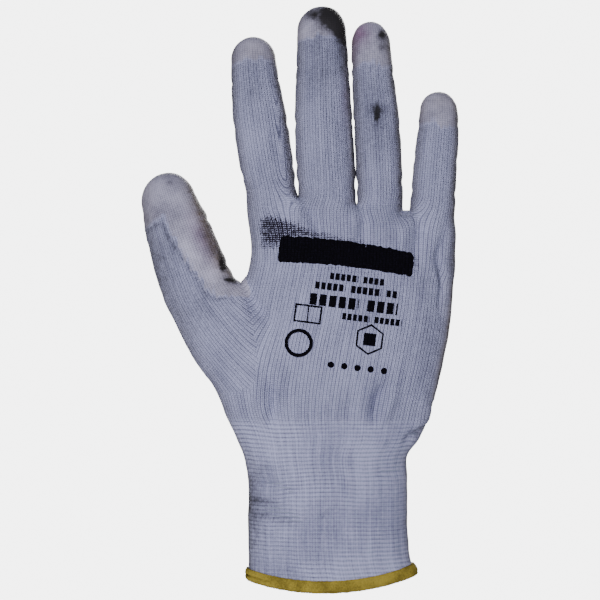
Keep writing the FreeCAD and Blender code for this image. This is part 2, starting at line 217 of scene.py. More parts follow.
class Digit:
    """The path of a finger or the thumb, as rows of centres, directions and sizes."""

    def __init__(self, name, spec):
        self.name = name
        self.spec = spec
        rows = spec["buried"] + [fold[1:] for fold in spec["folds"]]
        flat = [(row[0], row[1]) for row in rows] + [spec["end"]]
        points = [np.array([flat[0][0], 0.0, flat[0][1]])]
        for (x0, z0), (x1, z1), lean in zip(flat, flat[1:], spec["lean"]):
            rise = math.hypot(x1 - x0, z1 - z0) * math.tan(math.radians(lean))
            points.append(np.array([x1, points[-1][1] + rise, z1]))
        self.end = points.pop()
        reach = self.end - points[-1]
        length = np.linalg.norm(reach)
        points.append(points[-1] + reach / length * (length - spec["tip_round"]))
        sizes = [row[2:] for row in rows]
        shoulder = spec.get("shoulder", SHOULDER)
        sizes.append([size * share for size, share in zip(sizes[-1], shoulder)])
        knots = np.concatenate([[0], np.cumsum(np.linalg.norm(np.diff(points, axis=0), axis=1))])
        buried = len(spec["buried"])
        rolls = [spec.get("roll", 0.0) * min(1.0, i / buried) for i in range(len(points))]
        values = [[*p, *size, roll] for p, size, roll in zip(points, sizes, rolls)]
        self.length = knots[-1]
        names = [fold[0] for fold in spec["folds"]]
        self.folds = dict(zip(names, knots[buried:]))
        self.first_fold = knots[buried]
        self.s = np.linspace(0, self.length, int(self.length / PATH_STEP) + 1)
        table = smooth_rows(knots, values, self.s)
        self.centre, self.half, roll = table[:, :3], table[:, 3:5], np.radians(table[:, 5:6])
        along = np.gradient(self.centre, axis=0)
        self.along = along / np.linalg.norm(along, axis=1)[:, None]
        across = np.cross([0, 1, 0], self.along)
        across /= np.linalg.norm(across, axis=1)[:, None]
        palm = np.cross(self.along, across)
        self.across = across * np.cos(roll) - palm * np.sin(roll)
        self.palm = palm * np.cos(roll) + across * np.sin(roll)

    def at(self, s):
        """Centre, along, across, palm and half sizes at one distance along the path."""
        i = int(np.clip(round(s / self.length * (len(self.s) - 1)), 0, len(self.s) - 1))
        return self.centre[i], self.along[i], self.across[i], self.palm[i], self.half[i]

    def nearest(self, p):
        """For points: the number of the nearest row of the path."""
        gap = (self.centre**2).sum(axis=1)[None, :] - 2 * p @ self.centre.T
        return gap.argmin(axis=1)

    def local(self, p, nearest=None):
        """For points: distance along the path, the two offsets from it, and the half sizes there."""
        nearest = self.nearest(p) if nearest is None else nearest
        off = p - self.centre[nearest]
        lift = (off * self.along[nearest]).sum(axis=1)
        u = (off * self.across[nearest]).sum(axis=1)
        v = (off * self.palm[nearest]).sum(axis=1)
        return self.s[nearest] + lift, u, v, self.half[nearest]

    def field(self, p, nearest=None):
        """About the distance of points from the digit's surface, negative inside."""
        s, u, v, half = self.local(p, nearest)
        over = np.maximum(s - self.length, 0) / self.spec["tip_round"]
        under = np.maximum(-s, 0) / half[:, 1]
        rho = np.sqrt((u / half[:, 0]) ** 2 + (v / half[:, 1]) ** 2 + over**2 + under**2)
        far = np.sqrt(u**2 + v**2 + (over * self.spec["tip_round"]) ** 2 + (under * half[:, 1]) ** 2)
        return far * (1 - 1 / np.maximum(rho, 0.05))


DIGIT = {name: Digit(name, spec) for name, spec in DIGITS.items()}
TRUNK_KNOTS = [row[0] for row in TRUNK]
TRUNK_ROWS = [row[1:] for row in TRUNK]


def trunk_oval(z):
    """Centre, half width and half thickness of the trunk at many heights."""
    z = np.clip(z, TRUNK_KNOTS[0], TRUNK_KNOTS[-1])
    left, right, half = smooth_rows(TRUNK_KNOTS, TRUNK_ROWS, z).T
    return (left + right) / 2, (right - left) / 2, half


def web_at(x):
    """Height of the crotch line between the fingers."""
    return WEB_HEIGHT + WEB_SLOPE * (x - WEB_X)


def trunk_field(p):
    """About the distance of points from the trunk's surface, negative inside."""
    x, wide, thick = trunk_oval(p[:, 2])
    u, v = p[:, 0] - x, p[:, 1]
    rho = np.sqrt((u / wide) ** 2 + (v / thick) ** 2)
    side = np.sqrt(u**2 + v**2) * (1 - 1 / np.maximum(rho, 0.05))
    top = p[:, 2] - web_at(p[:, 0])
    bottom = TRUNK_KNOTS[0] - p[:, 2]
    return np.maximum(-soft_min(-side, -top, WEB_ROUND), bottom)


def glove_field(p, nearest):
    """The trunk joined to each digit by a fillet; the digits don't join each other."""
    trunk = trunk_field(p)
    joined = [
        soft_min(trunk, digit.field(p, rows), THUMB_FILLET if digit.name == "thumb" else ROOT_FILLET)
        for digit, rows in zip(DIGIT.values(), nearest)
    ]
    return np.min(joined, axis=0)


def field_and_slope(p):
    """The field at points, and how it changes along each axis."""
    nearest = [digit.nearest(p) for digit in DIGIT.values()]
    slope = np.empty_like(p)
    for axis in range(3):
        off = np.zeros(3)
        off[axis] = SLOPE_STEP
        slope[:, axis] = (glove_field(p + off, nearest) - glove_field(p - off, nearest)) / (2 * SLOPE_STEP)
    return glove_field(p, nearest), slope


# ---- the skin's mesh

def placed(name, data):
    obj = bpy.data.objects.new(name, data)
    bpy.context.collection.objects.link(obj)
    return obj


def tube_rings(centre, across, palm, half):
    """Oval rings round centres, one per row."""
    turns = full_turn(TUBE_SIDES)
    u = np.cos(turns)[None, :, None] * across[:, None, :] * half[:, None, :1]
    v = np.sin(turns)[None, :, None] * palm[:, None, :] * half[:, None, 1:]
    return centre[:, None, :] + u + v


def closed_tube(rings):
    """Points and faces of a closed tube through rings of points."""
    rows, cols = rings.shape[:2]
    points = [*rings.reshape(-1, 3), rings[0].mean(axis=0), rings[-1].mean(axis=0)]
    faces = []
    for r in range(rows - 1):
        for c in range(cols):
            d = (c + 1) % cols
            faces.append((r * cols + c, r * cols + d, (r + 1) * cols + d, (r + 1) * cols + c))
    for c in range(cols):
        d = (c + 1) % cols
        faces.append((rows * cols, d, c))
        faces.append((rows * cols + 1, (rows - 1) * cols + c, (rows - 1) * cols + d))
    return points, faces


def rough_union():
    """One mesh of overlapping tubes, made into a single skin of even faces."""
    z = np.linspace(TRUNK_KNOTS[0] + 1, WEB_HEIGHT, TRUNK_RINGS)
    x, wide, thick = trunk_oval(z)
    centre = np.stack([x, 0 * x, z], axis=1)
    ones = np.ones((len(z), 1))
    tubes = [tube_rings(centre, ones * [1, 0, 0], ones * [0, 1, 0], np.stack([wide, thick], 1))]
    for digit in DIGIT.values():
        rings = tube_rings(digit.centre, digit.across, digit.palm, digit.half - ROUGH_INSET)
        dome = []
        for turn in np.radians(DOME_TURNS):
            lift = digit.along[-1] * (digit.spec["tip_round"] - ROUGH_INSET) * math.sin(turn)
            dome.append((rings[-1] - digit.centre[-1]) * math.cos(turn) + digit.centre[-1] + lift)
        tubes.append(np.concatenate([rings[::RING_EVERY], rings[-1:], dome]))
    points, faces = [], []
    for tube in tubes:
        p, f = closed_tube(tube)
        faces += [tuple(i + len(points) for i in face) for face in f]
        points += list(p)
    mesh = bpy.data.meshes.new("rough")
    mesh.from_pydata([tuple(p) for p in points], [], faces)
    obj = placed("rough", mesh)
    remesh = obj.modifiers.new("remesh", "REMESH")
    remesh.mode = "VOXEL"
    remesh.voxel_size = VOXEL
    remesh.adaptivity = 0
    evaluated = obj.evaluated_get(bpy.context.evaluated_depsgraph_get())
    skin = bpy.data.meshes.new_from_object(evaluated)
    co = np.empty(len(skin.vertices) * 3)
    skin.vertices.foreach_get("co", co)
    faces = [tuple(face.vertices) for face in skin.polygons]
    bpy.data.objects.remove(obj)
    bpy.data.meshes.remove(mesh)
    bpy.data.meshes.remove(skin)
    return co.reshape(-1, 3), faces


def edges_of(faces):
    pairs = set()
    for face in faces:
        for a, b in zip(face, face[1:] + face[:1]):
            pairs.add((min(a, b), max(a, b)))
    return np.array(sorted(pairs))


def averaged(values, edges, count):
    """Each point's mean over its neighbours."""
    total = np.zeros_like(values)
    for axis in range(values.shape[1]):
        total[:, axis] = np.bincount(edges[:, 0], values[edges[:, 1], axis], count)
        total[:, axis] += np.bincount(edges[:, 1], values[edges[:, 0], axis], count)
    degree = np.bincount(edges.ravel(), minlength=count)
    return total / degree[:, None]


def settled_skin():
    """The skin's points, spread evenly and brought onto the field's zero."""
    p, faces = rough_union()
    edges = edges_of(faces)
    for _ in range(SETTLE_STEPS):
        p = p + (averaged(p, edges, len(p)) - p) * SETTLE_PULL
        value, slope = field_and_slope(p)
        size = np.maximum((slope**2).sum(axis=1), 0.3)
        move = slope * (value / size)[:, None]
        far = np.linalg.norm(move, axis=1, keepdims=True)
        p = p - move * np.minimum(1, SETTLE_REACH / np.maximum(far, 1e-9))
    return p, faces, edges


def point_normals(p, faces):
    """Normals of the points of a mesh of four-sided faces, from the faces round each."""
    f = np.array(faces)
    normal = np.cross(p[f[:, 2]] - p[f[:, 0]], p[f[:, 3]] - p[f[:, 1]])
    total = np.zeros_like(p)
    for axis in range(3):
        for corner in range(4):
            total[:, axis] += np.bincount(f[:, corner], normal[:, axis], len(p))
    return total / np.maximum(np.linalg.norm(total, axis=1), 1e-9)[:, None]


# ---- soft folds, in code: (x, z) from, (x, z) to, half width, height out of the back

BACK_FOLDS = [
    ((-27.0, 92.0), (-25.5, 71.0), 2.6, -1.3),
    ((-33.0, 88.0), (-30.0, 70.0), 2.4, 0.7),
    ((23.0, 88.0), (17.0, 70.5), 2.4, -1.4),
    ((28.0, 86.0), (22.5, 69.5), 2.6, 0.8),
    ((8.0, 82.0), (6.0, 70.0), 3.0, -0.5),
    ((43.0, 70.5), (30.5, 60.5), 2.2, -0.9),
    ((46.0, 78.0), (34.0, 67.0), 3.0, 0.6),
    ((-15.0, 170.0), (-12.0, 150.0), 2.4, 0.7),
    ((-12.0, 168.0), (-6.0, 152.0), 2.2, -0.6),
    ((11.0, 168.0), (9.0, 150.0), 2.4, 0.7),
    ((14.5, 166.0), (15.0, 148.0), 2.2, -0.6),
    ((34.0, 163.0), (30.5, 147.0), 2.6, 0.8),
    ((38.5, 161.0), (38.0, 140.0), 2.4, -0.8),
    ((49.0, 160.0), (48.0, 116.0), 1.6, -0.9),
    ((-38.0, 132.0), (-27.0, 112.0), 3.2, -1.0),
    ((-40.0, 126.0), (-36.0, 100.0), 3.6, 0.7),
    ((-36.0, 46.0), (-12.0, 40.0), 2.6, -0.6),
    ((-36.0, 36.0), (-8.0, 26.0), 2.8, -0.7),
    ((34.0, 52.0), (16.0, 47.0), 2.2, -0.5),
]
PALM_FOLDS = [
    ((-36.0, 146.0), (34.0, 132.0), 2.6, -1.3),
    ((-34.0, 138.0), (28.0, 126.0), 3.0, 0.8),
    ((-30.0, 142.0), (-8.0, 92.0), 2.8, -1.5),
    ((-24.0, 136.0), (-2.0, 90.0), 3.2, 0.9),
    ((50.0, 148.0), (8.0, 140.0), 2.6, -1.0),
    ((-20.0, 90.0), (24.0, 84.0), 3.0, -0.9),
    ((14.0, 86.0), (10.0, 68.0), 2.6, -0.9),
    ((-16.0, 86.0), (-14.0, 66.0), 2.8, -0.8),
]
BACK_FOLD_DEPTH = 3.0
CREASE_DEPTH, CREASE_HALF = 0.75, 1.5  # creases across a digit's palm side, at its folds
LIPS, LIP_HEIGHT, LIP_HALF = (-3.4, 3.6), 0.3, 2.2  # the swellings on both sides of a crease
BACK_CREASE_UNDER, BACK_CREASE_DEPTH, BACK_CREASE_HALF = 2.2, 0.22, 1.6
LONG_WAVE, SHORT_WAVE = (22, 0.55), (7, 0.22)  # length and height of the fabric's unevenness
CALM_SIDES, CALM_FROM, CALM_TO = 0.8, 165, 180  # fingers' sides are smoother, so that none touch
PLEAT_HEIGHT, PLEATS, SMALL_PLEATS = 0.16, 17, 29


def line_fold(p, start, end, half_width, height):
    """A ridge or, if the height is negative, a valley along a line in X and Z."""
    a, b = np.array(start), np.array(end)
    q = p[:, [0, 2]] - a
    d = b - a
    t = (q @ d) / (d @ d)
    across = np.linalg.norm(q - np.clip(t, 0, 1)[:, None] * d, axis=1)
    fade = ramp(t, -0.1, 0.35) * (1 - ramp(t, 0.65, 1.1))
    return height * np.exp(-((across / half_width) ** 2)) * fade


def wander(p, scale, offset):
    """Smooth noise of about -1 to 1 at points."""
    shift = Vector((offset * 17.3, offset * 5.1, offset * 9.7))
    return np.array([noise.noise(Vector(q) / scale + shift) for q in p])


def fold_heights(p, normal):
    """How far each point moves out along its normal."""
    back, palm = ramp(-normal[:, 1], 0.1, 0.6), ramp(normal[:, 1], 0.1, 0.6)
    bent = p + np.stack([wander(p, 14, 1), 0 * p[:, 0], wander(p, 14, 2)], axis=1) * 2.2
    height = back * BACK_FOLD_DEPTH * sum(line_fold(bent, *fold) for fold in BACK_FOLDS)
    height += palm * sum(line_fold(bent, *fold) for fold in PALM_FOLDS)
    for digit in DIGIT.values():
        s, u, v, half = digit.local(bent)
        on = 1 - ramp(np.abs(digit.field(p)), 2, 5)
        for name, knot in digit.folds.items():
            if name == "root":
                continue
            side = ramp(v / half[:, 1], -0.5, 0.6)
            height -= on * side * CREASE_DEPTH * np.exp(-(((s - knot) / CREASE_HALF) ** 2))
            for off in LIPS:
                height += on * side * LIP_HEIGHT * np.exp(-(((s - knot - off) / LIP_HALF) ** 2))
            under = (s - knot + BACK_CREASE_UNDER) / BACK_CREASE_HALF
            height -= on * (1 - side) * BACK_CREASE_DEPTH * np.exp(-(under**2))
    calm = 1 - CALM_SIDES * ramp(np.abs(normal[:, 0]), 0.6, 0.95) * ramp(p[:, 2], CALM_FROM, CALM_TO)
    for seed, (length, rise) in ((3, LONG_WAVE), (4, SHORT_WAVE)):
        height += calm * rise * wander(p, length, seed)
    # the elastic gathers the cuff into soft upright pleats
    gathered = ramp(p[:, 2], -6, 4) * (1 - ramp(p[:, 2], 58, 78))
    x, wide, thick = trunk_oval(p[:, 2])
    turn = np.arctan2(p[:, 1] / thick, (p[:, 0] - x) / wide)
    pleats = np.sin(turn * PLEATS + 1.3 * wander(p, 30, 5)) + 0.6 * np.sin(turn * SMALL_PLEATS + 2.0)
    height += gathered * PLEAT_HEIGHT * pleats * (0.5 + ramp(wander(p, 16, 6), -0.4, 0.6))
    return height


# ---- where each stitch is

WALES_ROUND_TRUNK = 136
BLEND_LOW, BLEND_HIGH = -12.0, 5.0  # of a digit's path, from its first fold: trunk's wales to its own
BLEND_NEAR, BLEND_SURE, BLEND_FAR = 1.15, 1.4, 1.9  # the same across a digit, in its half sizes
ROOT_DEPTH = 0.9  # how far back a digit's root counts as lying, in the trunk's half thicknesses
ARC_STEPS, ARC_RATIOS = 240, np.linspace(0.1, 1.5, 15)


def arc_share(turn, wide, thick):
    """Share of an oval's outline between its back and a turn, from -0.5 to 0.5."""
    grid = np.linspace(-math.pi, math.pi, ARC_STEPS + 1)
    ratio = np.clip(thick / wide, ARC_RATIOS[0], ARC_RATIOS[-1])
    table = []
    for level in ARC_RATIOS:
        speed = np.sqrt(np.cos(grid) ** 2 + (level * np.sin(grid)) ** 2)
        length = np.concatenate([[0], np.cumsum((speed[1:] + speed[:-1]) / 2)])
        table.append(length / length[-1] - 0.5)
    table = np.array(table)
    column = (turn + math.pi) / (2 * math.pi) * ARC_STEPS
    c = np.clip(column.astype(int), 0, ARC_STEPS - 1)
    row = (ratio - ARC_RATIOS[0]) / (ARC_RATIOS[1] - ARC_RATIOS[0])
    r = np.clip(row.astype(int), 0, len(ARC_RATIOS) - 2)
    fc, fr = column - c, row - r
    low = table[r, c] * (1 - fc) + table[r, c + 1] * fc
    high = table[r + 1, c] * (1 - fc) + table[r + 1, c + 1] * fc
    return low * (1 - fr) + high * fr


def own_stitches(digit, p):
    """Wale and course of points in one digit's own count, and the number of wales round it."""
    s, du, dv, half = digit.local(p)
    centre, _, _, _, (a, b) = digit.at(digit.first_fold)
    around = math.pi * (3 * (a + b) - math.sqrt((3 * a + b) * (a + 3 * b)))
    wales = round(around / WALE)
    own = arc_share(np.arctan2(du / half[:, 0], -dv / half[:, 1]), half[:, 0], half[:, 1]) * wales
    middle, root_wide, root_thick = trunk_oval(np.array([min(centre[2], WEB_HEIGHT)]))
    root_turn = np.arctan2((centre[0] - middle) / root_wide, ROOT_DEPTH)
    start = round(float(arc_share(root_turn, root_wide, root_thick)[0]) * WALES_ROUND_TRUNK)
    return own + start, (s - digit.first_fold + centre[2]) / COURSE, wales


def stitch_coordinates(p):
    """Wale, course, and the number of wales round, on the trunk and the fingers. Wale 0 is mid back."""
    x, wide, thick = trunk_oval(np.minimum(p[:, 2], WEB_HEIGHT))
    share = arc_share(np.arctan2((p[:, 0] - x) / wide, -p[:, 1] / thick), wide, thick)
    u, v = share * WALES_ROUND_TRUNK, p[:, 2] / COURSE
    period = np.full(len(p), float(WALES_ROUND_TRUNK))
    for digit in DIGIT.values():
        if digit.name == "thumb":
            continue
        s, du, dv, half = digit.local(p)
        up = s - digit.first_fold
        inside = np.sqrt((du / half[:, 0]) ** 2 + (dv / half[:, 1]) ** 2)
        weight = ramp(up, BLEND_LOW, BLEND_HIGH) * (1 - ramp(inside, BLEND_NEAR, BLEND_FAR))
        weight = np.maximum(weight, (up > BLEND_HIGH) & (inside < BLEND_SURE))
        own_u, own_v, wales = own_stitches(digit, p)
        u = u * (1 - weight) + own_u * weight
        v = v * (1 - weight) + own_v * weight
        period = np.where(weight > 0.5, wales, period)
    return u, v, period


def corner_stitches(u, v, period, faces):
    """Wale and course at the corners of faces, whole across the line where the count starts again."""
    f = np.array(faces)
    cu, cv, cp = u[f], v[f], period[f].min(axis=1)[:, None]
    cu = cu - np.round((cu - cu[:, :1]) / cp) * cp
    return np.stack([cu, cv], axis=2)


# ---- what lies on the fabric: coating, dirt and dye with painted shade, and ink, as numbers at points

COATING_LEFT, COATING_RIGHT = 1.0, -5.0  # y of the palm coating's edge at the hand's sides
COATING_FOOT = 80.0
COATING_WRAP = 1.0  # how far the coating passes a digit's middle towards its back
THUMB_WRAP, THUMB_WRAP_TURN = 0.5, 76.0  # on the thumb it comes round to the back on the index's side
THUMB_EDGE = [(30.0, -1.92), (46.0, 3.2), (63.0, 5.75), (163.0, 170.75)]  # (from the tip, edge draws in)


def coated(p):
    """Millimetres inside the coating's edge, negative outside it."""
    x, _, _ = trunk_oval(p[:, 2])
    share = ramp(p[:, 0] - x, -20, 44)
    edge = COATING_LEFT * (1 - share) + COATING_RIGHT * share
    depth = np.minimum(p[:, 1] - edge, p[:, 2] - COATING_FOOT)
    fields = np.stack([digit.field(p) for digit in DIGIT.values()])
    weight = ramp(trunk_field(p) - fields.min(axis=0), -6, -1)
    for digit, closest in zip(DIGIT.values(), fields == fields.min(axis=0)):
        s, u, v, _ = digit.local(p)
        own = v + COATING_WRAP
        from_tip = digit.length + digit.spec["tip_round"] - s
        if digit.name == "thumb":
            turn = math.radians(THUMB_WRAP_TURN)
            turned = u * math.sin(turn) + v * math.cos(turn)
            own = np.maximum(own, turned + THUMB_WRAP - np.interp(from_tip, *zip(*THUMB_EDGE)))
        own = np.maximum(own, digit.spec["coated_tip"] - from_tip)
        depth = np.where(closest, depth * (1 - weight) + own * weight, depth)
    return depth


def blot(p, x, z, wide, high, turn=0.0):
    """A soft spot on the back, 1 at its middle."""
    c, s = math.cos(math.radians(turn)), math.sin(math.radians(turn))
    dx, dz = p[:, 0] - x, p[:, 2] - z
    a, b = (dx * c + dz * s) / wide, (dz * c - dx * s) / high
    return np.exp(-(a**2 + b**2))


# spots on the back: (strength, x, z, half width, half height, turn in degrees)
DARK_SPOTS = [
    # tips of the middle and ring finger
    (1.5, 0.8, 251.0, 5.6, 5.6, 0),
    (1.0, 4.4, 243.6, 2.4, 5.4, 0),
    (0.5, -8.5, 252.0, 3.0, 3.4, 0),
    (0.75, 22.8, 243.4, 1.8, 2.0, 0),
    (0.35, 23.0, 238.0, 2.4, 4.0, 0),
    # marks on the fingers
    (0.75, 20.2, 206.5, 0.8, 3.4, 0),
    (0.3, 20.4, 208.5, 3.6, 3.2, 0),
    (0.25, 5.4, 232.0, 3.0, 9.0, 0),
    (0.22, -35.0, 218.0, 8.0, 10.0, 0),
    # marks on the thumb's coating
    (1.3, -44.4, 133.4, 3.0, 0.9, -18),
    (1.3, -47.8, 139.8, 1.1, 2.4, 14),
    (0.5, -48.6, 144.0, 1.2, 3.0, 20),
    (0.2, -50.5, 151.5, 1.0, 5.0, 24),
    (0.3, -45.0, 150.0, 2.6, 2.0, 0),
    (0.3, -58.0, 176.0, 2.6, 2.0, 0),
    (0.3, -72.0, 177.0, 2.6, 2.0, 0),
    (0.3, -47.0, 140.0, 2.6, 2.0, 0),
    # streaks on the cuff
    (0.2, -29.5, 51.0, 3.2, 2.2, 0),
    (0.28, -3.0, 31.5, 3.4, 1.6, 30),
    (0.25, -23.0, 29.0, 9.0, 1.6, -12),
    (0.22, -28.0, 36.5, 8.0, 1.4, -8),
    # broad smudges
    (0.24, -74.0, 145.0, 10.0, 18.0, 0),
    (0.22, -58.0, 120.0, 12.0, 14.0, 0),
    (0.16, -7.0, 240.0, 6.0, 8.0, 0),
    (0.26, -5.0, 226.0, 10.0, 15.0, 0),
    (0.22, 18.5, 218.0, 9.0, 16.0, 0),
    (0.12, 18.0, 240.0, 8.0, 8.0, 0),
    (0.14, 48.4, 210.0, 9.0, 9.0, 0),
    (0.20, 19.5, 196.0, 9.0, 14.0, 0),
    (0.34, -34.0, 32.0, 7.0, 26.0, 0),
    (0.14, -26.0, 164.0, 8.0, 14.0, 0),
    (0.20, 43.0, 110.0, 6.0, 28.0, 0),
    (0.04, 6.0, 132.0, 30.0, 22.0, 0),
    (0.05, -16.0, 72.0, 10.0, 8.0, 0),
]
OLIVE_SPOTS = [
    (0.7, -50.0, 145.0, 4.0, 12.0, 24),
    (1.0, -55.0, 158.0, 3.0, 22.0, 26),
    (0.3, 50.0, 214.0, 8.0, 4.0, 0),
    (0.25, -34.0, 236.0, 8.0, 6.0, 0),
]
PINK_SPOTS = [
    (0.9, 12.6, 244.5, 4.6, 5.6, 0),
    (0.4, 10.0, 236.0, 2.6, 6.0, 0),
    (0.25, 6.6, 214.0, 2.4, 12.0, 0),
    (0.4, -57.0, 152.0, 3.6, 12.0, 24),
]
BLED_SPOTS = [  # round the marker's stroke
    (1.25, -26.0, 155.0, 5.0, 8.0, 20),
    (0.8, -19.0, 156.5, 8.0, 4.0, 0),
    (0.4, -30.0, 148.0, 3.6, 5.0, 0),
    (0.75, -8.0, 153.4, 13.0, 2.4, -7),
    (0.5, 14.0, 150.2, 14.0, 1.8, -7),
    (0.6, 37.0, 141.0, 2.2, 7.0, 0),
    (0.5, 6.0, 137.8, 28.0, 2.0, -7),
]
OLIVE_SIDE_SHADE, OLIVE_RIGHT, DARK_SIDE_SHADE = 0.5, 0.35, 0.16  # painted olive and dark shade where the surface turns sideways; an olive tint on the hand's faces turned right
EDGE_SHADOW, EDGE_SHADOW_AT = 0.26, -0.8  # a painted shadow line just outside the coating's edge on the thumb


def spots(p, rows):
    """The sum of many soft spots."""
    return sum(strength * blot(p, *spot) for strength, *spot in rows)


def stains_and_shade(p, normal):
    """Dark dirt, olive dirt and tint, pink tint and bled ink on the fabric, each from 0 to 1; the dark and
    olive parts also carry painted shade where the surface turns sideways, and the dark part a painted shadow
    line by the thumb's coating edge.
    """
    rough = 1 + 0.35 * wander(p, 3.0, 8) + 0.25 * wander(p, 1.3, 9)
    sideways = np.abs(normal[:, 0])
    # painted shadow: a dark line just outside the coating's edge on the thumb
    line = np.exp(-((coated(p) - EDGE_SHADOW_AT) ** 2)) * ramp(-p[:, 0], 36, 50)
    dark = spots(p, DARK_SPOTS) + EDGE_SHADOW * line
    # an olive tint on the hand's faces turned to the right
    right = ramp(normal[:, 0], 0.45, 0.98) * ramp(p[:, 2], 70, 110)
    # painted olive shade where the surface turns sideways, added to the olive dirt
    olive = spots(p, OLIVE_SPOTS) + OLIVE_RIGHT * right + OLIVE_SIDE_SHADE * ramp(sideways, 0.4, 1.0)
    back = ramp(-normal[:, 1], -0.5, 0.1)
    made = [
        # painted dark shade where the surface turns sideways, added to the dirt
        dark * rough * back + DARK_SIDE_SHADE * ramp(sideways, 0.5, 1.0),
        olive * rough,
        spots(p, PINK_SPOTS) * rough * back,
        spots(p, BLED_SPOTS) * back,
    ]
    return np.clip(np.stack(made, axis=1), 0, 1)


# ---- pieces: which joint each face bends across

SPLIT_AFTER_ROOT = 3.4  # between the spread's short bend and the curl's longer one
ROOT_MARGIN = 4.0
CURL_BELOW, CURL_ABOVE = 8.0, 11.0
CUFF_BEND, WRIST_BEND, ROOT_BEND = (9.0, 6.0), (6.0, 12.0), (2.2, 1.9)  # below and above the fold
CUFF_CUT = 64.5  # height where the cuff's stretch of skin ends and the hand's starts
FIRST_CUT, FIRST_BELOW = 7.0, 6.2  # below the first fold of a digit that doesn't spread
SPREAD_SHARE, NEXT_SHARE = 0.45, 0.42  # most that a bend takes of the way to the next fold
CUT_MARGIN = 1.0
TIP_ROOM = 20.0


class Bend:
    """A stretch of skin that bends across one joint, and where it starts and ends along a path."""

    def __init__(self, name, parent, child, low, start, end, digit=None):
        self.name, self.parent, self.child = name, parent, child
        self.low, self.start, self.end = low, start, end
        self.digit = digit

    def ends(self):
        """The two points in space between which the skin turns, in metres."""
        if self.digit is None:
            x = float(trunk_oval(np.array([self.start]))[0][0])
            return (x * MM, 0, self.start * MM), (x * MM, 0, self.end * MM)
        centre, along, _, _, _ = self.digit.at((self.start + self.end) / 2)
        half = (self.end - self.start) / 2
        return tuple((centre - along * half) * MM), tuple((centre + along * half) * MM)


def all_bends():
    """One stretch of skin per joint, from the hem up."""
    trunk = [
        Bend("cuff", "cuff", "wrist", -100.0, CUFF_TOP - CUFF_BEND[0], CUFF_TOP + CUFF_BEND[1]),
        Bend("hand", "wrist", "hand", CUFF_CUT, WRIST_TOP - WRIST_BEND[0], WRIST_TOP + WRIST_BEND[1]),
    ]
    digits = []
    for digit in DIGIT.values():
        parent = "hand"
        names = list(digit.folds)
        for i, name in enumerate(names):
            knot = digit.folds[name]
            child = f"{digit.name}_{name}"
            after = digit.folds[names[i + 1]] if i + 1 < len(names) else digit.length + TIP_ROOM
            if name == "root":
                low, start, end = knot - ROOT_MARGIN, knot - ROOT_BEND[0], knot + ROOT_BEND[1]
            elif names[i - 1] == "root" and i:
                low = digit.folds["root"] + SPLIT_AFTER_ROOT
                start, end = low + CUT_MARGIN, knot + min(CURL_ABOVE, (after - knot) * SPREAD_SHARE)
            elif i == 0:
                low, start, end = knot - FIRST_CUT, knot - FIRST_BELOW, knot + CURL_ABOVE
            else:
                below = digit.folds[names[i - 1]]
                room = min(CURL_BELOW, (knot - below) * NEXT_SHARE)
                low = knot - room - CUT_MARGIN
                start, end = knot - room, knot + min(CURL_ABOVE, (after - knot) * NEXT_SHARE)
            digits.append(Bend(child, parent, child, low, start, end, digit))
            parent = child
    return trunk, digits


def label_faces(centres):
    """For each face, the number of the stretch of skin it belongs to."""
    trunk, digits = all_bends()
    bends = trunk + digits
    label = np.where(centres[:, 2] < trunk[1].low, 0, 1)
    nearest = trunk_field(centres)
    for digit in DIGIT.values():
        s = digit.local(centres)[0]
        field = digit.field(centres)
        own = [i for i, bend in enumerate(bends) if bend.digit is digit]
        on = (field < nearest) & (s > bends[own[0]].low)
        for i in own:
            label = np.where(on & (s > bends[i].low), i, label)
        nearest = np.where(on, field, nearest)
    return label, bends


# ---- meshes

HEM_DROP, HEM_RISE, HEM_REACH, HEM_TILT = 2.9, 5.2, 37.0, 0.03
KNIT_FROM = 1.2  # the knit starts this far over the hem's edge
INNER_SHIFT = [0.5, 0.5, 0]  # of the stitches on the liner's inner face, in wales and courses
INNER_STAIN_AND_SHADE = [0.3, 0.3, 0.3, 0.5]  # share of each channel of dirt, dye, bled ink and painted shade that shows on the inner face
SPLIT_MARGIN = 0.02


def smoothed(mesh):
    mesh.polygons.foreach_set("use_smooth", np.ones(len(mesh.polygons), bool))
    return mesh


def new_object(name, points, faces):
    """A smooth mesh object from points in millimetres."""
    mesh = bpy.data.meshes.new(name)
    mesh.from_pydata((np.asarray(points) * MM).tolist(), [], [list(map(int, f)) for f in faces])
    return placed(name, smoothed(mesh))


def store(mesh, name, kind, domain, values):
    """Keeps numbers with a mesh, for the materials."""
    attribute = mesh.attributes.new(name, kind, domain)
    key = {"FLOAT_VECTOR": "vector", "FLOAT_COLOR": "color", "FLOAT": "value"}[kind]
    attribute.data.foreach_set(key, np.asarray(values, np.float32).ravel())


def with_third(values):
    return np.concatenate([values, np.zeros((len(values), 1))], axis=1)


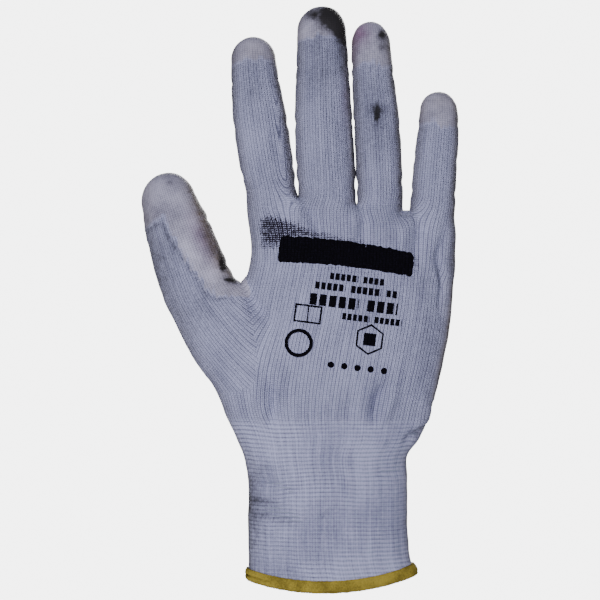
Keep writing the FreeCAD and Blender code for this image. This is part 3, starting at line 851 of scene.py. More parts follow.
class Skin:
    """The whole glove's surface, with its stitches, its dirt and dye and its painted shade, before it is cut
    into pieces.
    """

    def __init__(self):
        flat, self.faces, self.edges = settled_skin()
        normal = point_normals(flat, self.faces)
        self.p = flat + normal * fold_heights(flat, normal)[:, None]
        self.n = point_normals(self.p, self.faces)
        self.stitches = corner_stitches(*stitch_coordinates(flat), self.faces)
        u, v, wales = own_stitches(DIGIT["thumb"], flat)
        on_thumb = corner_stitches(u, v, np.full(len(flat), wales), self.faces)
        away, near = trunk_field(flat), DIGIT["thumb"].field(flat)
        chosen = ((away > near) & (near < THUMB_FILLET))[np.array(self.faces)].mean(axis=1) > 0.5
        self.stitches[chosen] = on_thumb[chosen]
        self.stains_and_shade = stains_and_shade(flat, normal)
        self.flat = flat
        centres = flat[np.array(self.faces)].mean(axis=1)
        self.label, self.bends = label_faces(centres)
        self.kept = centres[:, 2] > hem_edge(centres[:, 0]) + KNIT_FROM

    def chosen(self, mask):
        """The faces of a mask, with their points renumbered, and the points' old numbers."""
        faces = np.array(self.faces)[mask]
        used, inverse = np.unique(faces, return_inverse=True)
        return faces, inverse.reshape(faces.shape), used


def hem_edge(x):
    """Height of the cuff's lower edge, which hangs lowest at its middle."""
    return -HEM_DROP + HEM_RISE * (x / HEM_REACH) ** 2 + HEM_TILT * x


def knit_piece(skin, k, name):
    """Outer and inner face of one stretch of the liner."""
    mask = skin.kept & (skin.label == k)
    faces, small, used = skin.chosen(mask)
    p, n, rest = skin.p[used], skin.n[used], skin.flat[used]
    count = len(used)
    corners = with_third(skin.stitches[mask].reshape(-1, 2))
    inner_corners = with_third(skin.stitches[mask][:, ::-1].reshape(-1, 2)) + INNER_SHIFT
    obj = new_object(name, np.vstack([p, p - n * KNIT]), np.vstack([small, small[:, ::-1] + count]))
    mesh = obj.data
    store(mesh, "stitch", "FLOAT_VECTOR", "CORNER", np.vstack([corners, inner_corners]))
    store(mesh, "rest", "FLOAT_VECTOR", "POINT", np.vstack([rest, rest]))
    inner_stain_and_shade = skin.stains_and_shade[used] * INNER_STAIN_AND_SHADE
    store(mesh, "stain_and_shade", "FLOAT_COLOR", "POINT", np.vstack([skin.stains_and_shade[used], inner_stain_and_shade]))
    mesh.normals_split_custom_set_from_vertices(np.vstack([n, -n]).tolist())
    return obj


def patch(skin, mask):
    """A bmesh of some of the skin's faces, carrying all that its points and corners carry."""
    faces, small, used = skin.chosen(mask)
    bm = bmesh.new()
    normal, rest = bm.verts.layers.float_vector.new("normal"), bm.verts.layers.float_vector.new("rest")
    stain_and_shade = bm.verts.layers.float_color.new("stain_and_shade")
    stitch = bm.loops.layers.float_vector.new("stitch")
    bm.verts.layers.float.new("depth")
    for i in used:
        vert = bm.verts.new(skin.p[i])
        vert[normal], vert[rest], vert[stain_and_shade] = skin.n[i], skin.flat[i], skin.stains_and_shade[i]
    bm.verts.ensure_lookup_table()
    for face, corners in zip(small, skin.stitches[mask]):
        made = bm.faces.new([bm.verts[i] for i in face])
        for loop, (u, v) in zip(made.loops, corners):
            loop[stitch] = (u, v, 0)
    return bm


def points_of(bm, layer="rest"):
    key = bm.verts.layers.float_vector[layer]
    return np.array([vert[key] for vert in bm.verts])


def set_depth(bm, values):
    key = bm.verts.layers.float["depth"]
    for vert, value in zip(bm.verts, values):
        vert[key] = value


def refine(bm, band, cuts):
    """Divides the faces whose depth lies within a band round zero."""
    key = bm.verts.layers.float["depth"]
    chosen = set()
    for face in bm.faces:
        low = min(vert[key] for vert in face.verts)
        high = max(vert[key] for vert in face.verts)
        if low < band and high > -band:
            chosen.update(face.edges)
    bmesh.ops.subdivide_edges(bm, edges=list(chosen), cuts=cuts, use_grid_fill=True)
    bm.normal_update()


def clip(bm):
    """Cuts the mesh where its depth is zero and keeps the part above it."""
    key = bm.verts.layers.float["depth"]
    crossing = [e for e in bm.edges if (e.verts[0][key] > 0) != (e.verts[1][key] > 0)]
    made = []
    for edge in crossing:
        a, b = edge.verts
        share = a[key] / (a[key] - b[key])
        _, vert = bmesh.utils.edge_split(edge, a, min(max(share, SPLIT_MARGIN), 1 - SPLIT_MARGIN))
        vert[key] = 0.0
        made.append(vert)
    bmesh.ops.connect_verts(bm, verts=made)
    outside = [f for f in bm.faces if min(v[key] for v in f.verts) < 0]
    bmesh.ops.delete(bm, geom=outside, context="FACES")
    return bm


def lifted_object(bm, name, lift):
    """The patch as an object, each point lifted along the skin's normal by what lift says of its depth."""
    depth_key = bm.verts.layers.float["depth"]
    normal_key = bm.verts.layers.float_vector["normal"]
    depth = np.array([vert[depth_key] for vert in bm.verts])
    for vert, height in zip(bm.verts, lift(depth)):
        normal = Vector(vert[normal_key]).normalized()
        vert.co = (vert.co + normal * height) * MM
    mesh = bpy.data.meshes.new(name)
    normals = [Vector(vert[normal_key]).normalized() for vert in bm.verts]
    bm.to_mesh(mesh)
    bm.free()
    smoothed(mesh).normals_split_custom_set_from_vertices([tuple(n) for n in normals])
    return placed(name, mesh)


# ---- coating

TOOTH_COLUMN, TOOTH_ROW, TOOTH_BROAD = 3.6, 1.2, 2.4  # how far wales, courses and broad bays reach
CALM_EDGE, CALM_EDGE_FROM, CALM_EDGE_TO = 0.85, 0.3, 0.75
EDGE_REACH, EDGE_BAND, EDGE_CUTS = 3.5, 3.6, 2
FILM_RISE, FILM_SUNK = (-0.1, 0.9), 0.03  # depths over which the film thickens, and its edge's sinking


def toothed(p, normal):
    """The ragged edge that a dip leaves on each wale and course, calmer along a digit's sides."""
    calm = 1 - CALM_EDGE * ramp(np.abs(normal[:, 0]), CALM_EDGE_FROM, CALM_EDGE_TO)
    made = []
    for x, y, z in p:
        column = noise.noise(Vector((math.floor(x / WALE) * 7.31, y / 6, z / 11)))
        row = noise.noise(Vector((x / 7, y / 6, math.floor(z / COURSE) * 5.17)))
        broad = noise.noise(Vector((x / 9, y / 9, z / 14)))
        made.append(TOOTH_COLUMN * column + TOOTH_ROW * row + TOOTH_BROAD * broad)
    return np.array(made) * calm


def film_piece(skin, k, name):
    """The coating on one stretch of the liner."""
    depth = coated(skin.flat)
    over = depth[np.array(skin.faces)].max(axis=1) > -EDGE_REACH
    mask = skin.kept & (skin.label == k) & over
    bm = patch(skin, mask)
    set_depth(bm, coated(points_of(bm)))
    refine(bm, EDGE_BAND, EDGE_CUTS)
    p = points_of(bm)
    set_depth(bm, coated(p) + toothed(p, points_of(bm, "normal")))
    clip(bm)
    return lifted_object(bm, name, lambda depth: FILM * ramp(depth, *FILM_RISE) - FILM_SUNK)


# ---- print and marker

MARKER_LENGTH, MARKER_WIDTH = 59.0, 11.0
MARKER_CENTRE = (6.6, 144.6)
MARKER_BOW, MARKER_BOW_TURN, MARKER_LOW, MARKER_TAPER, MARKER_CORNER = 1.1, 1.1, 0.7, 0.012, 1.6
PRINT_SLOPE = -7.0
TEXT_LINES = [  # (down from the marker, across, length, height)
    (10.0, 5.6, 24.0, 2.9),
    (14.7, 6.2, 37.0, 3.1),
    (20.9, 5.4, 39.0, 5.0),
    (26.7, 15.0, 28.0, 2.8),
]
DOTS_BELOW, DOT_COUNT, DOT_PITCH, DOT_RADIUS, DOTS_FROM = 48.2, 5, 5.8, 1.4, -1.0
RING_SIGN = (-16.0, 40.6, 6.2)  # (across, down, radius)
SHIELD_SIGN = (14.4, 35.4, 6.8)
LEAFLET_SIGN = (-13.6, 27.6, 12.0, 8.0)  # (across, down, width, height)
SIGN_LINE, SPINE = 0.8, 0.3
BLOCK_PITCH, BLOCK_GAP, WORD_BLOCKS, WORD_GAP = 0.84, 0.11, 6.0, 0.36
BLOCK_CORNER, SIGN_CORNER, INNER_SHARE = 0.3, 0.2, 0.4
INK_LIFT = 0.045
INK_REACH = 2.5
MARKER_ROUGH, MARKER_PASSES = (0.55, 0.3), ((2.5, 3),)
PRINT_ROUGH, PRINT_PASSES = (0.1, 0.08), ((1.6, 3), (0.5, 2))


def print_axes(p):
    """Across and down, in the print's own sloping axes."""
    slope = math.radians(PRINT_SLOPE)
    dx, dz = p[:, 0] - MARKER_CENTRE[0], p[:, 2] - MARKER_CENTRE[1]
    return dx * math.cos(slope) + dz * math.sin(slope), dx * math.sin(slope) - dz * math.cos(slope)


def in_box(a, d, half_long, half_high, corner):
    """Millimetres inside a rounded box round zero, negative outside."""
    qa, qd = np.abs(a) - half_long + corner, np.abs(d) - half_high + corner
    outside = np.sqrt(np.maximum(qa, 0) ** 2 + np.maximum(qd, 0) ** 2)
    return corner - outside - np.minimum(np.maximum(qa, qd), 0)


def in_text_line(a, d, length, height):
    """A row of short plain blocks in place of words."""
    row = in_box(a, d, length / 2, height / 2, BLOCK_CORNER)
    pitch = height * BLOCK_PITCH
    place = np.mod(a + length / 2, pitch) - pitch / 2
    gap = BLOCK_GAP * height - np.abs(np.abs(place) - pitch / 2)
    word = np.mod(a + length / 2, pitch * WORD_BLOCKS) - pitch * (WORD_BLOCKS - 0.4)
    space = WORD_GAP * pitch - np.abs(word)
    return np.minimum.reduce([row, -gap, -space])


def in_print(a, d):
    """Millimetres inside the printed block's bars, rings and boxes."""
    made = [in_text_line(a - across, d - down, length, high) for down, across, length, high in TEXT_LINES]
    for i in range(DOT_COUNT):
        x = DOTS_FROM + i * DOT_PITCH
        made.append(DOT_RADIUS - np.hypot(a - x, d - DOTS_BELOW))
    across, down, radius = RING_SIGN
    ring = np.hypot(a - across, d - down)
    made.append(SIGN_LINE - np.abs(ring - radius + SIGN_LINE))
    across, down, radius = SHIELD_SIGN
    turn = np.arctan2(d - down, a - across)
    face = np.mod(turn + math.pi / 6, math.pi / 3) - math.pi / 6
    flat = np.hypot(a - across, d - down) * np.cos(face)
    made.append(SIGN_LINE / 2 - np.abs(flat - radius * math.cos(math.pi / 6) + SIGN_LINE / 2))
    inner = radius * INNER_SHARE
    made.append(in_box(a - across, d - down, inner, inner, SIGN_CORNER))
    across, down, width, height = LEAFLET_SIGN
    box = in_box(a - across, d - down, width / 2, height / 2, SIGN_CORNER)
    made.append(SIGN_LINE / 2 - np.abs(box - SIGN_LINE / 2))
    made.append(np.minimum(box, SPINE - np.abs(a - across)))
    return np.max(made, axis=0)


def in_marker(a, d):
    """Millimetres inside the marker's stroke, which bows a little and narrows to its right."""
    bow = d + MARKER_BOW * np.cos(a / MARKER_LENGTH * math.pi * MARKER_BOW_TURN) - MARKER_LOW
    return in_box(a, bow, MARKER_LENGTH / 2, MARKER_WIDTH / 2 - MARKER_TAPER * a, MARKER_CORNER)


def stitch_noise(p, wale_amount, course_amount):
    """How far ink runs further or less far along each wale and course."""
    made = []
    for x, y, z in p:
        column = noise.noise(Vector((math.floor(x / WALE) * 3.7, z / 2.4, 4.0)))
        row = noise.noise(Vector((x / 2.2, math.floor(z / COURSE) * 2.9, 9.0)))
        made.append(wale_amount * column + course_amount * row)
    return np.array(made)


def ink_piece(skin, name, inside, rough, passes):
    """Ink in the stitches of the back of the hand, where a shape says so."""
    a, d = print_axes(skin.flat)
    near = (inside(a, d) > -INK_REACH) & (skin.n[:, 1] < -0.2)
    mask = near[np.array(skin.faces)].any(axis=1) & (skin.label == 1)
    bm = patch(skin, mask)
    set_depth(bm, inside(*print_axes(points_of(bm))))
    for band, cuts in passes:
        refine(bm, band, cuts)
        set_depth(bm, inside(*print_axes(points_of(bm))))
    p = points_of(bm)
    set_depth(bm, inside(*print_axes(p)) + stitch_noise(p, *rough))
    clip(bm)
    return lifted_object(bm, name, lambda depth: np.full(len(depth), INK_LIFT))


# ---- hem and rubber threads

HEM_HEIGHT = 5.0
HEM_STITCHES = 270
YARN = 0.43  # radius of the overlock yarn
# the loop's way over the edge: (offset from the knit's middle, lift over the edge)
HEM_LOOP = [(0.75, 5.2), (1.25, 4.4), (1.5, 3.2), (1.45, 1.9), (1.1, 0.8), (0.5, 0.2), (-0.2, 0.1),
            (-1.0, 0.6), (-1.4, 1.9), (-1.35, 3.4), (-0.8, 5.0)]
YARN_JITTER, YARN_SPREAD, YARN_SIDES, CORE_SIDES = 0.1, 0.08, 7, 12
CHAIN_OUT, CHAIN_BELOW, CHAIN_WAVE, CHAIN_RADIUS, CHAIN_SIDES, CHAIN_STEPS = 0.95, 0.2, 0.42, 0.3, 6, 4
HEM_CORE = [(0.0, 1.3, 1.05), (0.15, 2.4, 1.3), (0.1, 3.6, 1.15), (0.0, 4.6, 0.7)]  # offset, lift, radius


def cuff_frame(turns, lift):
    """Points round the cuff's wall at a lift over its lower edge, and the wall's outward directions."""
    z = np.zeros(len(turns))
    for _ in range(6):
        x, wide, thick = trunk_oval(z)
        z = hem_edge(x + wide * np.cos(turns)) + lift
    x, wide, thick = trunk_oval(z)
    across, deep = x + (wide - KNIT / 2) * np.cos(turns), (thick - KNIT / 2) * np.sin(turns)
    middle = np.stack([across, deep, z], axis=1)
    out = np.stack([np.cos(turns) * thick, np.sin(turns) * wide, 0 * z], axis=1)
    return middle, out / np.linalg.norm(out, axis=1)[:, None]


def tube_along(path, radius, sides, closed):
    """Points and faces of a round tube along points in space."""
    path = np.asarray(path)
    if closed:
        along = np.roll(path, -1, axis=0) - np.roll(path, 1, axis=0)
    else:
        along = np.gradient(path, axis=0)
    along /= np.linalg.norm(along, axis=1)[:, None]
    helper = np.where(np.abs(along[:, 2:3]) > 0.9, [[1.0, 0, 0]], [[0, 0, 1.0]])
    if not closed:
        helper = np.repeat(helper[:1], len(path), axis=0)
    a = np.cross(along, helper)
    a /= np.linalg.norm(a, axis=1)[:, None]
    b = np.cross(along, a)
    turns = full_turn(sides)
    radius = np.broadcast_to(np.asarray(radius, float), (len(path),))[:, None, None]
    rings = path[:, None, :] + radius * (
        np.cos(turns)[None, :, None] * a[:, None, :] + np.sin(turns)[None, :, None] * b[:, None, :])
    faces = []
    rows = len(path)
    for r in range(rows if closed else rows - 1):
        q = (r + 1) % rows
        for c in range(sides):
            d = (c + 1) % sides
            faces.append((r * sides + c, r * sides + d, q * sides + d, q * sides + c))
    return rings.reshape(-1, 3), faces


def joined(name, tubes):
    """One object of many tubes, whose points carry their places as the knit's do."""
    points, faces = [], []
    count = 0
    for p, f in tubes:
        faces += [tuple(i + count for i in face) for face in f]
        points.append(p)
        count += len(p)
    obj = new_object(name, np.vstack(points), faces)
    store(obj.data, "rest", "FLOAT_VECTOR", "POINT", np.vstack(points))
    return obj


def round_cuff(count):
    """Turns round the cuff, evenly far apart along its edge."""
    fine = np.linspace(0, 2 * math.pi, 2001)
    middle, _ = cuff_frame(fine, 2.0)
    length = np.concatenate([[0], np.cumsum(np.linalg.norm(np.diff(middle, axis=0), axis=1))])
    return np.interp(np.linspace(0, length[-1], count + 1)[:-1], length, fine)


def hem_object():
    """Overlock stitches: a yarn loop over the edge per stitch, and a chain along each side's top."""
    turns = round_cuff(HEM_STITCHES)
    step = 2 * math.pi / HEM_STITCHES
    rng = np.random.default_rng(SEED)
    tubes = []
    lean = np.linspace(0.0, 1.0, len(HEM_LOOP))
    levels = [cuff_frame(turns + step * share, lift) for share, (_, lift) in zip(lean, HEM_LOOP)]
    for i in range(HEM_STITCHES):
        jitter = rng.uniform(-YARN_JITTER, YARN_JITTER)
        path = [
            middle[i] + out[i] * offset + np.array([0, 0, jitter])
            for (middle, out), (offset, _) in zip(levels, HEM_LOOP)
        ]
        radius = YARN * (1 + rng.uniform(-YARN_SPREAD, YARN_SPREAD))
        tubes.append(tube_along(path, radius, YARN_SIDES, False))
    for offset, lift, radius in HEM_CORE:
        middle, out = cuff_frame(turns, lift)
        tubes.append(tube_along(middle + out * offset, radius, CORE_SIDES, True))
    fine = round_cuff(HEM_STITCHES * CHAIN_STEPS)
    phase = np.arange(len(fine)) / CHAIN_STEPS * 2 * math.pi
    middle, out = cuff_frame(fine, HEM_HEIGHT - CHAIN_BELOW)
    wave = np.sin(phase)[:, None] * np.array([[0, 0, CHAIN_WAVE]])
    for side in (1, -1):
        tubes.append(tube_along(middle + out * side * CHAIN_OUT + wave, CHAIN_RADIUS, CHAIN_SIDES, True))
    return joined("cuff_hem_overlock", tubes)


ELASTIC_RADIUS, ELASTIC_PITCH, ELASTIC_GAP = 0.3, 1.8, 0.25
ELASTIC_STEPS, ELASTIC_SIDES = 96, 6
CUFF_ELASTIC, WRIST_ELASTIC = (10.4, 56.0), (66.0, 71.5)  # lowest thread, and where they stop


def elastic_object(name, low, high):
    """Rubber threads laid round the inside of the knit."""
    tubes = []
    turns = full_turn(ELASTIC_STEPS)
    inset = KNIT + ELASTIC_RADIUS + ELASTIC_GAP
    for z in np.arange(low, high, ELASTIC_PITCH):
        x, wide, thick = (float(part[0]) for part in trunk_oval(np.array([z])))
        across, deep = x + (wide - inset) * np.cos(turns), (thick - inset) * np.sin(turns)
        path = np.stack([across, deep, np.full(len(turns), z)], axis=1)
        tubes.append(tube_along(path, ELASTIC_RADIUS, ELASTIC_SIDES, True))
    return joined(name, tubes)


# ---- materials

# colours from 0 to 255, as on screen
KNIT_DARK, KNIT_LIGHT = (72, 73, 100), (166, 168, 204)
COAT_DARK, COAT_LIGHT = (80, 78, 98), (176, 173, 198)
# the olive tints olive dirt, and also painted shade along the sides
OLIVE, PINK = (164, 148, 112), (200, 120, 170)
# the first colour darkens dirt spots, painted shade along the sides and a painted shadow line on the thumb
DIRT_AND_SHADE, BLED_INK = (12, 8, 8), (16, 9, 30)
INK_DARK, INK_WORN = (3, 2, 6), (18, 16, 30)
HEM_DARK, HEM_LIGHT = (70, 60, 18), (156, 138, 54)
ELASTIC_DARK, ELASTIC_LIGHT = (92, 96, 120), (150, 154, 178)
# heights between which the elastic cuff's looks fade into the hand's, and how far that line wanders
CUFF_FADE, CUFF_WANDER = (72.0, 77.0), 5.0


def srgb(r, g, b):
    """A colour given as 0 to 255 on screen, as the light it stands for."""
    made = []
    for c in (r / 255, g / 255, b / 255):
        made.append(c / 12.92 if c <= 0.04045 else ((c + 0.055) / 1.055) ** 2.4)
    return (*made, 1.0)


class Maker:
    """Adds nodes to a material's tree; inputs are numbers, colours or other nodes' outputs."""

    def __init__(self, name):
        self.material = bpy.data.materials.new(name)
        self.material.use_nodes = True
        self.tree = self.material.node_tree
        self.tree.nodes.clear()

    def put(self, socket, value):
        if isinstance(value, bpy.types.NodeSocket):
            self.tree.links.new(value, socket)
        else:
            socket.default_value = value

    def math(self, op, *values):
        node = self.tree.nodes.new("ShaderNodeMath")
        node.operation = op
        for socket, value in zip(node.inputs, values):
            self.put(socket, value)
        return node.outputs[0]

    def plus(self, a, b):
        return self.math("ADD", a, b)

    def minus(self, a, b):
        return self.math("SUBTRACT", a, b)

    def times(self, a, b):
        return self.math("MULTIPLY", a, b)

    def scaled(self, value, factor, start):
        """The value times the factor, added to the start."""
        return self.math("MULTIPLY_ADD", value, factor, start)

    def attribute(self, name):
        node = self.tree.nodes.new("ShaderNodeAttribute")
        node.attribute_name = name
        return node

    def split(self, vector):
        node = self.tree.nodes.new("ShaderNodeSeparateXYZ")
        self.put(node.inputs[0], vector)
        return node.outputs

    def join(self, x, y, z):
        node = self.tree.nodes.new("ShaderNodeCombineXYZ")
        for socket, value in zip(node.inputs, (x, y, z)):
            self.put(socket, value)
        return node.outputs[0]

    def noise(self, vector, scale, detail=2.0, rough=0.5):
        node = self.tree.nodes.new("ShaderNodeTexNoise")
        self.put(node.inputs["Vector"], vector)
        node.inputs["Scale"].default_value = scale
        node.inputs["Detail"].default_value = detail
        node.inputs["Roughness"].default_value = rough
        return node.outputs[0]

    def ramp(self, value, low, high, to_low=0.0, to_high=1.0):
        node = self.tree.nodes.new("ShaderNodeMapRange")
        node.interpolation_type = "SMOOTHSTEP"
        self.put(node.inputs[0], value)
        for socket, number in zip(node.inputs[1:5], (low, high, to_low, to_high)):
            socket.default_value = number
        return node.outputs[0]

    def mix(self, share, a, b, how="MIX"):
        node = self.tree.nodes.new("ShaderNodeMix")
        node.data_type = "RGBA"
        node.blend_type = how
        node.clamp_factor = True
        self.put(node.inputs[0], share)
        self.put(node.inputs[6], a)
        self.put(node.inputs[7], b)
        return node.outputs[2]

    def bump(self, height, distance, strength=1.0):
        node = self.tree.nodes.new("ShaderNodeBump")
        node.inputs["Strength"].default_value = strength
        node.inputs["Distance"].default_value = distance * MM
        self.put(node.inputs["Height"], height)
        return node.outputs[0]

    def finish(self, colour, roughness, normal, sheen=0.0, specular=0.5):
        shader = self.tree.nodes.new("ShaderNodeBsdfPrincipled")
        self.put(shader.inputs["Base Color"], colour)
        self.put(shader.inputs["Roughness"], roughness)
        self.put(shader.inputs["Normal"], normal)
        shader.inputs["Sheen Weight"].default_value = sheen
        shader.inputs["Sheen Roughness"].default_value = 0.6
        shader.inputs["Specular IOR Level"].default_value = specular
        out = self.tree.nodes.new("ShaderNodeOutputMaterial")
        self.tree.links.new(shader.outputs[0], out.inputs[0])
        return self.material


def stitch_height(m):
    """Height of the knit's loops from 0 to 1, and the wale and course it comes from."""
    u, v, _ = m.split(m.attribute("stitch").outputs["Vector"])
    side = m.math("ABSOLUTE", m.minus(m.math("FRACT", u), 0.5))
    leg = m.math("DIVIDE", m.minus(side, 0.2), 0.3)
    rib = m.math("MAXIMUM", m.minus(1.0, m.times(leg, leg)), 0.0)
    phase = m.plus(v, m.times(side, 0.9))
    wave = m.math("COSINE", m.times(phase, 2 * math.pi))
    loop = m.scaled(wave, 0.24, 0.76)
    return m.times(rib, loop), u, v


def cuff_share(m, z, wobble):
    """1 on the elastic cuff, 0 on the hand."""
    edge = m.scaled(wobble, CUFF_WANDER, z)
    return m.ramp(edge, *CUFF_FADE, 1.0, 0.0)


def knit_surface(m):
    """The knit's height with its elastic ridges, its wale and course, and its place on the glove."""
    height, u, v = stitch_height(m)
    rest = m.attribute("rest").outputs["Vector"]
    _, _, z = m.split(rest)
    wobble = m.noise(rest, 0.09)
    cuff = cuff_share(m, z, wobble)
    bend = m.scaled(m.noise(rest, 0.03), 4.0, z)
    line = m.math("COSINE", m.times(bend, 2 * math.pi / ELASTIC_PITCH))
    ridge = m.math("POWER", m.scaled(line, 0.5, 0.5), 0.6)
    taut = m.ramp(m.noise(rest, 0.045), 0.35, 0.6, 0.22, 0.6)
    mixed = m.plus(m.times(ridge, taut), m.times(height, 0.55))
    on_hand = m.times(height, m.minus(1.0, cuff))
    return m.plus(on_hand, m.times(mixed, cuff)), u, v, rest


def knit_colour(m, height, u, v, rest):
    """Two greys that follow the streaky yarn, its grain and broad blotches, with painted shade that darkens
    the low parts of the loops and the cuff's ridges.
    """
    streak = m.noise(m.join(u, m.times(v, 0.035), 0.0), 0.8, 3.0, 0.65)
    grain = m.noise(m.join(u, v, 3.0), 1.1, 1.0)
    blotch = m.noise(rest, 0.055, 3.0)
    # painted shade: the low parts of the loops and of the cuff's ridges are darker
    tone = m.scaled(streak, 0.50, m.times(height, 0.42))
    tone = m.scaled(grain, 0.20, tone)
    tone = m.scaled(blotch, 0.30, tone)
    return m.mix(m.ramp(tone, 0.30, 1.08), srgb(*KNIT_DARK), srgb(*KNIT_LIGHT))


def stained_and_shaded(m, colour, height, rest):
    """Dirt, dye and bled ink over a colour, with painted shade in the dark and olive parts along the sides.
    """
    attribute = m.attribute("stain_and_shade")
    dark, olive, pink = m.split(attribute.outputs["Vector"])
    bled = attribute.outputs["Alpha"]
    speckle = m.noise(rest, 0.9, 3.0, 0.65)
    # the olive part holds olive dirt and tint, and painted shade along the sides
    olive = m.times(olive, m.scaled(speckle, 0.9, 0.35))
    colour = m.mix(olive, colour, m.mix(1.0, colour, srgb(*OLIVE), "MULTIPLY"))
    colour = m.mix(m.times(pink, 0.75), colour, m.mix(1.0, colour, srgb(*PINK), "MULTIPLY"))
    sunk = m.minus(1.45, height)
    spots = m.ramp(m.times(m.times(bled, sunk), speckle), 0.16, 0.42)
    colour = m.mix(spots, colour, srgb(*BLED_INK))
    # the dark part holds dirt spots, painted shade along the sides and a painted shadow line by the thumb's
    # coating edge
    patch_share = m.ramp(m.scaled(speckle, 0.5, dark), 0.22, 1.0)
    return m.mix(m.times(patch_share, 0.96), colour, srgb(*DIRT_AND_SHADE))


def knit_material():
    m = Maker("knit")
    height, u, v, rest = knit_surface(m)
    colour = stained_and_shaded(m, knit_colour(m, height, u, v, rest), height, rest)
    fuzz = m.scaled(m.noise(rest, 2.6, 3.0), 0.25, height)
    return m.finish(colour, 0.92, m.bump(fuzz, 0.45), sheen=0.05, specular=0.12)


def coating_material():
    m = Maker("polyurethane")
    height, u, v, rest = knit_surface(m)
    patchy = m.noise(rest, 0.06, 4.0, 0.6)
    pore = m.noise(rest, 3.2, 3.0, 0.7)
    tone = m.scaled(patchy, 0.8, m.times(pore, 0.3))
    # painted shade: where the knit under the film is low, the film is darker
    tone = m.scaled(height, 0.30, tone)
    colour = m.mix(m.ramp(tone, 0.36, 1.06), srgb(*COAT_DARK), srgb(*COAT_LIGHT))
    depth = m.attribute("depth").outputs["Fac"]
    colour = m.mix(m.ramp(depth, 0.0, 2.4), knit_colour(m, height, u, v, rest), colour)
    colour = stained_and_shaded(m, colour, height, rest)
    relief = m.scaled(pore, 0.35, m.times(height, 0.5))
    rough = m.ramp(patchy, 0.3, 0.7, 0.55, 0.72)
    return m.finish(colour, rough, m.bump(relief, 0.2), specular=0.25)


def ink_material():
    m = Maker("ink")
    height, _, _, rest = knit_surface(m)
    wear = m.scaled(m.noise(rest, 1.4, 3.0), 0.7, m.times(height, 0.35))
    colour = m.mix(m.ramp(wear, 0.5, 0.95), srgb(*INK_DARK), srgb(*INK_WORN))
    return m.finish(colour, 0.9, m.bump(height, 0.3), specular=0.06)


def yarn_material(name, dark, light, scale):
    """Twisted yarn or thread between two colours."""
    m = Maker(name)
    rest = m.attribute("rest").outputs["Vector"]
    twist = m.noise(rest, scale, 4.0, 0.7)
    soil = m.noise(rest, 0.12, 3.0)
    tone = m.scaled(soil, 0.6, m.times(twist, 0.6))
    colour = m.mix(m.ramp(tone, 0.3, 0.85), srgb(*dark), srgb(*light))
    return m.finish(colour, 0.85, m.bump(twist, 0.12), specular=0.15)


# ---- the glove, put together

def dressed(obj, material):
    """The object with its one material."""
    obj.data.materials.clear()
    obj.data.materials.append(material)
    return obj


def bend_piece(obj, bend):
    start, end = bend.ends()
    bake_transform(obj, bend.parent, bend.child, start=start, end=end)


def build_glove():
    skin = Skin()
    knit, coating, ink = knit_material(), coating_material(), ink_material()
    for k, bend in enumerate(skin.bends):
        liner = dressed(knit_piece(skin, k, f"{bend.name}_knit"), knit)
        bend_piece(liner, bend)
        nodes = ["wrist_liner", "hand_liner"] if bend.name == "hand" else [f"{bend.name}_liner"]
        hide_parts(*nodes)
        if bend.name != "cuff":
            film = dressed(film_piece(skin, k, f"{bend.name}_film"), coating)
            bend_piece(film, bend)
            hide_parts(f"{bend.name}_coating")
    marker = dressed(ink_piece(skin, "marker_ink", in_marker, MARKER_ROUGH, MARKER_PASSES), ink)
    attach(marker, "hand")
    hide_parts("marker_stroke")
    printed = dressed(ink_piece(skin, "print_ink", in_print, PRINT_ROUGH, PRINT_PASSES), ink)
    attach(printed, "hand")
    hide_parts("back_print")
    hem = dressed(hem_object(), yarn_material("hem_yarn", HEM_DARK, HEM_LIGHT, 1.6))
    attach(hem, "cuff")
    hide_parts("cuff_hem")
    rubber = yarn_material("elastic_thread", ELASTIC_DARK, ELASTIC_LIGHT, 2.2)
    for bend, name, low, high in (
        (skin.bends[0], "cuff_elastic", *CUFF_ELASTIC),
        (skin.bends[1], "wrist_elastic", *WRIST_ELASTIC),
    ):
        threads = dressed(elastic_object(f"{name}_threads", low, high), rubber)
        bend_piece(threads, bend)
        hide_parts(name)


# ---- studio

ROOM_RADIUS, ROOM_BEND, ROOM_FLOOR, ROOM_TOP, ROOM_SIDES = 2.4, 0.6, -0.62, 3.2, 96  # metres
PAPER, GLOW = (0.93, 0.93, 0.93, 1), 5.0
LIGHTS = [  # (name, place, size, power); all shine at the middle of the glove
    ("key", (-0.42, -1.02, 0.10), (0.45, 0.45), 14),
    ("fill", (0.7, -1.1, 0.0), (0.8, 1.0), 4),
    ("behind", (0.3, 1.3, 0.7), (1.0, 0.8), 38),
]
LIGHTS_AT = (-0.014, 0, 0.125)
SKY, SKY_STRENGTH = (0.95, 0.97, 1.0, 1), 0.34
VIEW_CENTRE = (-0.0137, 0.0, 0.1249)
VIEW_WIDTH = 0.2657
LENS, SENSOR = 100.0, 36.0


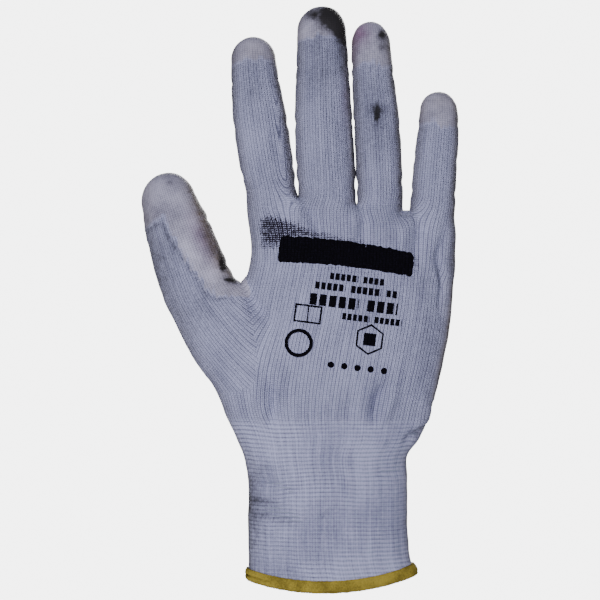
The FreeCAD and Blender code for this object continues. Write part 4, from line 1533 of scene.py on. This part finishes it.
def stage():
    """A closed pale room round the glove, whose floor sweeps up into its wall."""
    corner = ROOM_RADIUS - ROOM_BEND
    profile = [(0.0, ROOM_FLOOR), (corner, ROOM_FLOOR)]
    for turn in np.linspace(0, math.pi / 2, 12)[1:]:
        profile.append((corner + ROOM_BEND * math.sin(turn), ROOM_FLOOR + ROOM_BEND * (1 - math.cos(turn))))
    profile += [(ROOM_RADIUS, ROOM_TOP), (0.0, ROOM_TOP)]
    turns = full_turn(ROOM_SIDES)
    points = [(r * math.cos(turn), r * math.sin(turn), z) for r, z in profile for turn in turns]
    faces = []
    for row in range(len(profile) - 1):
        for i in range(ROOM_SIDES):
            a, b = row * ROOM_SIDES + i, row * ROOM_SIDES + (i + 1) % ROOM_SIDES
            faces.append((a, b, b + ROOM_SIDES, a + ROOM_SIDES))
    mesh = bpy.data.meshes.new("sweep")
    mesh.from_pydata(points, [], faces)
    obj = placed("sweep", smoothed(mesh))
    m = Maker("paper")
    shader = m.tree.nodes.new("ShaderNodeBsdfPrincipled")
    shader.inputs["Base Color"].default_value = PAPER
    shader.inputs["Roughness"].default_value = 0.9
    shader.inputs["Emission Color"].default_value = (1, 1, 1, 1)
    shader.inputs["Emission Strength"].default_value = GLOW
    out = m.tree.nodes.new("ShaderNodeOutputMaterial")
    m.tree.links.new(shader.outputs[0], out.inputs[0])
    mesh.materials.append(m.material)
    obj.visible_diffuse = False
    obj.visible_glossy = False
    obj.visible_shadow = False


def area_light(name, place, size, power):
    light = bpy.data.lights.new(name, "AREA")
    light.shape = "RECTANGLE"
    light.size, light.size_y = size
    light.energy = power
    obj = placed(name, light)
    obj.location = place
    obj.rotation_euler = (Vector(LIGHTS_AT) - Vector(place)).to_track_quat("-Z", "Y").to_euler()


def studio():
    stage()
    for light in LIGHTS:
        area_light(*light)
    world = bpy.data.worlds.new("studio")
    bpy.context.scene.world = world
    world.use_nodes = True
    background = world.node_tree.nodes["Background"]
    background.inputs[0].default_value = SKY
    background.inputs[1].default_value = SKY_STRENGTH


def camera():
    data = bpy.data.cameras.new("camera")
    data.lens, data.sensor_width = LENS, SENSOR
    obj = placed("camera", data)
    obj.location = (VIEW_CENTRE[0], -VIEW_WIDTH * LENS / SENSOR, VIEW_CENTRE[2])
    obj.rotation_euler = (math.pi / 2, 0, 0)
    bpy.context.scene.camera = obj


build_glove()
studio()
camera()
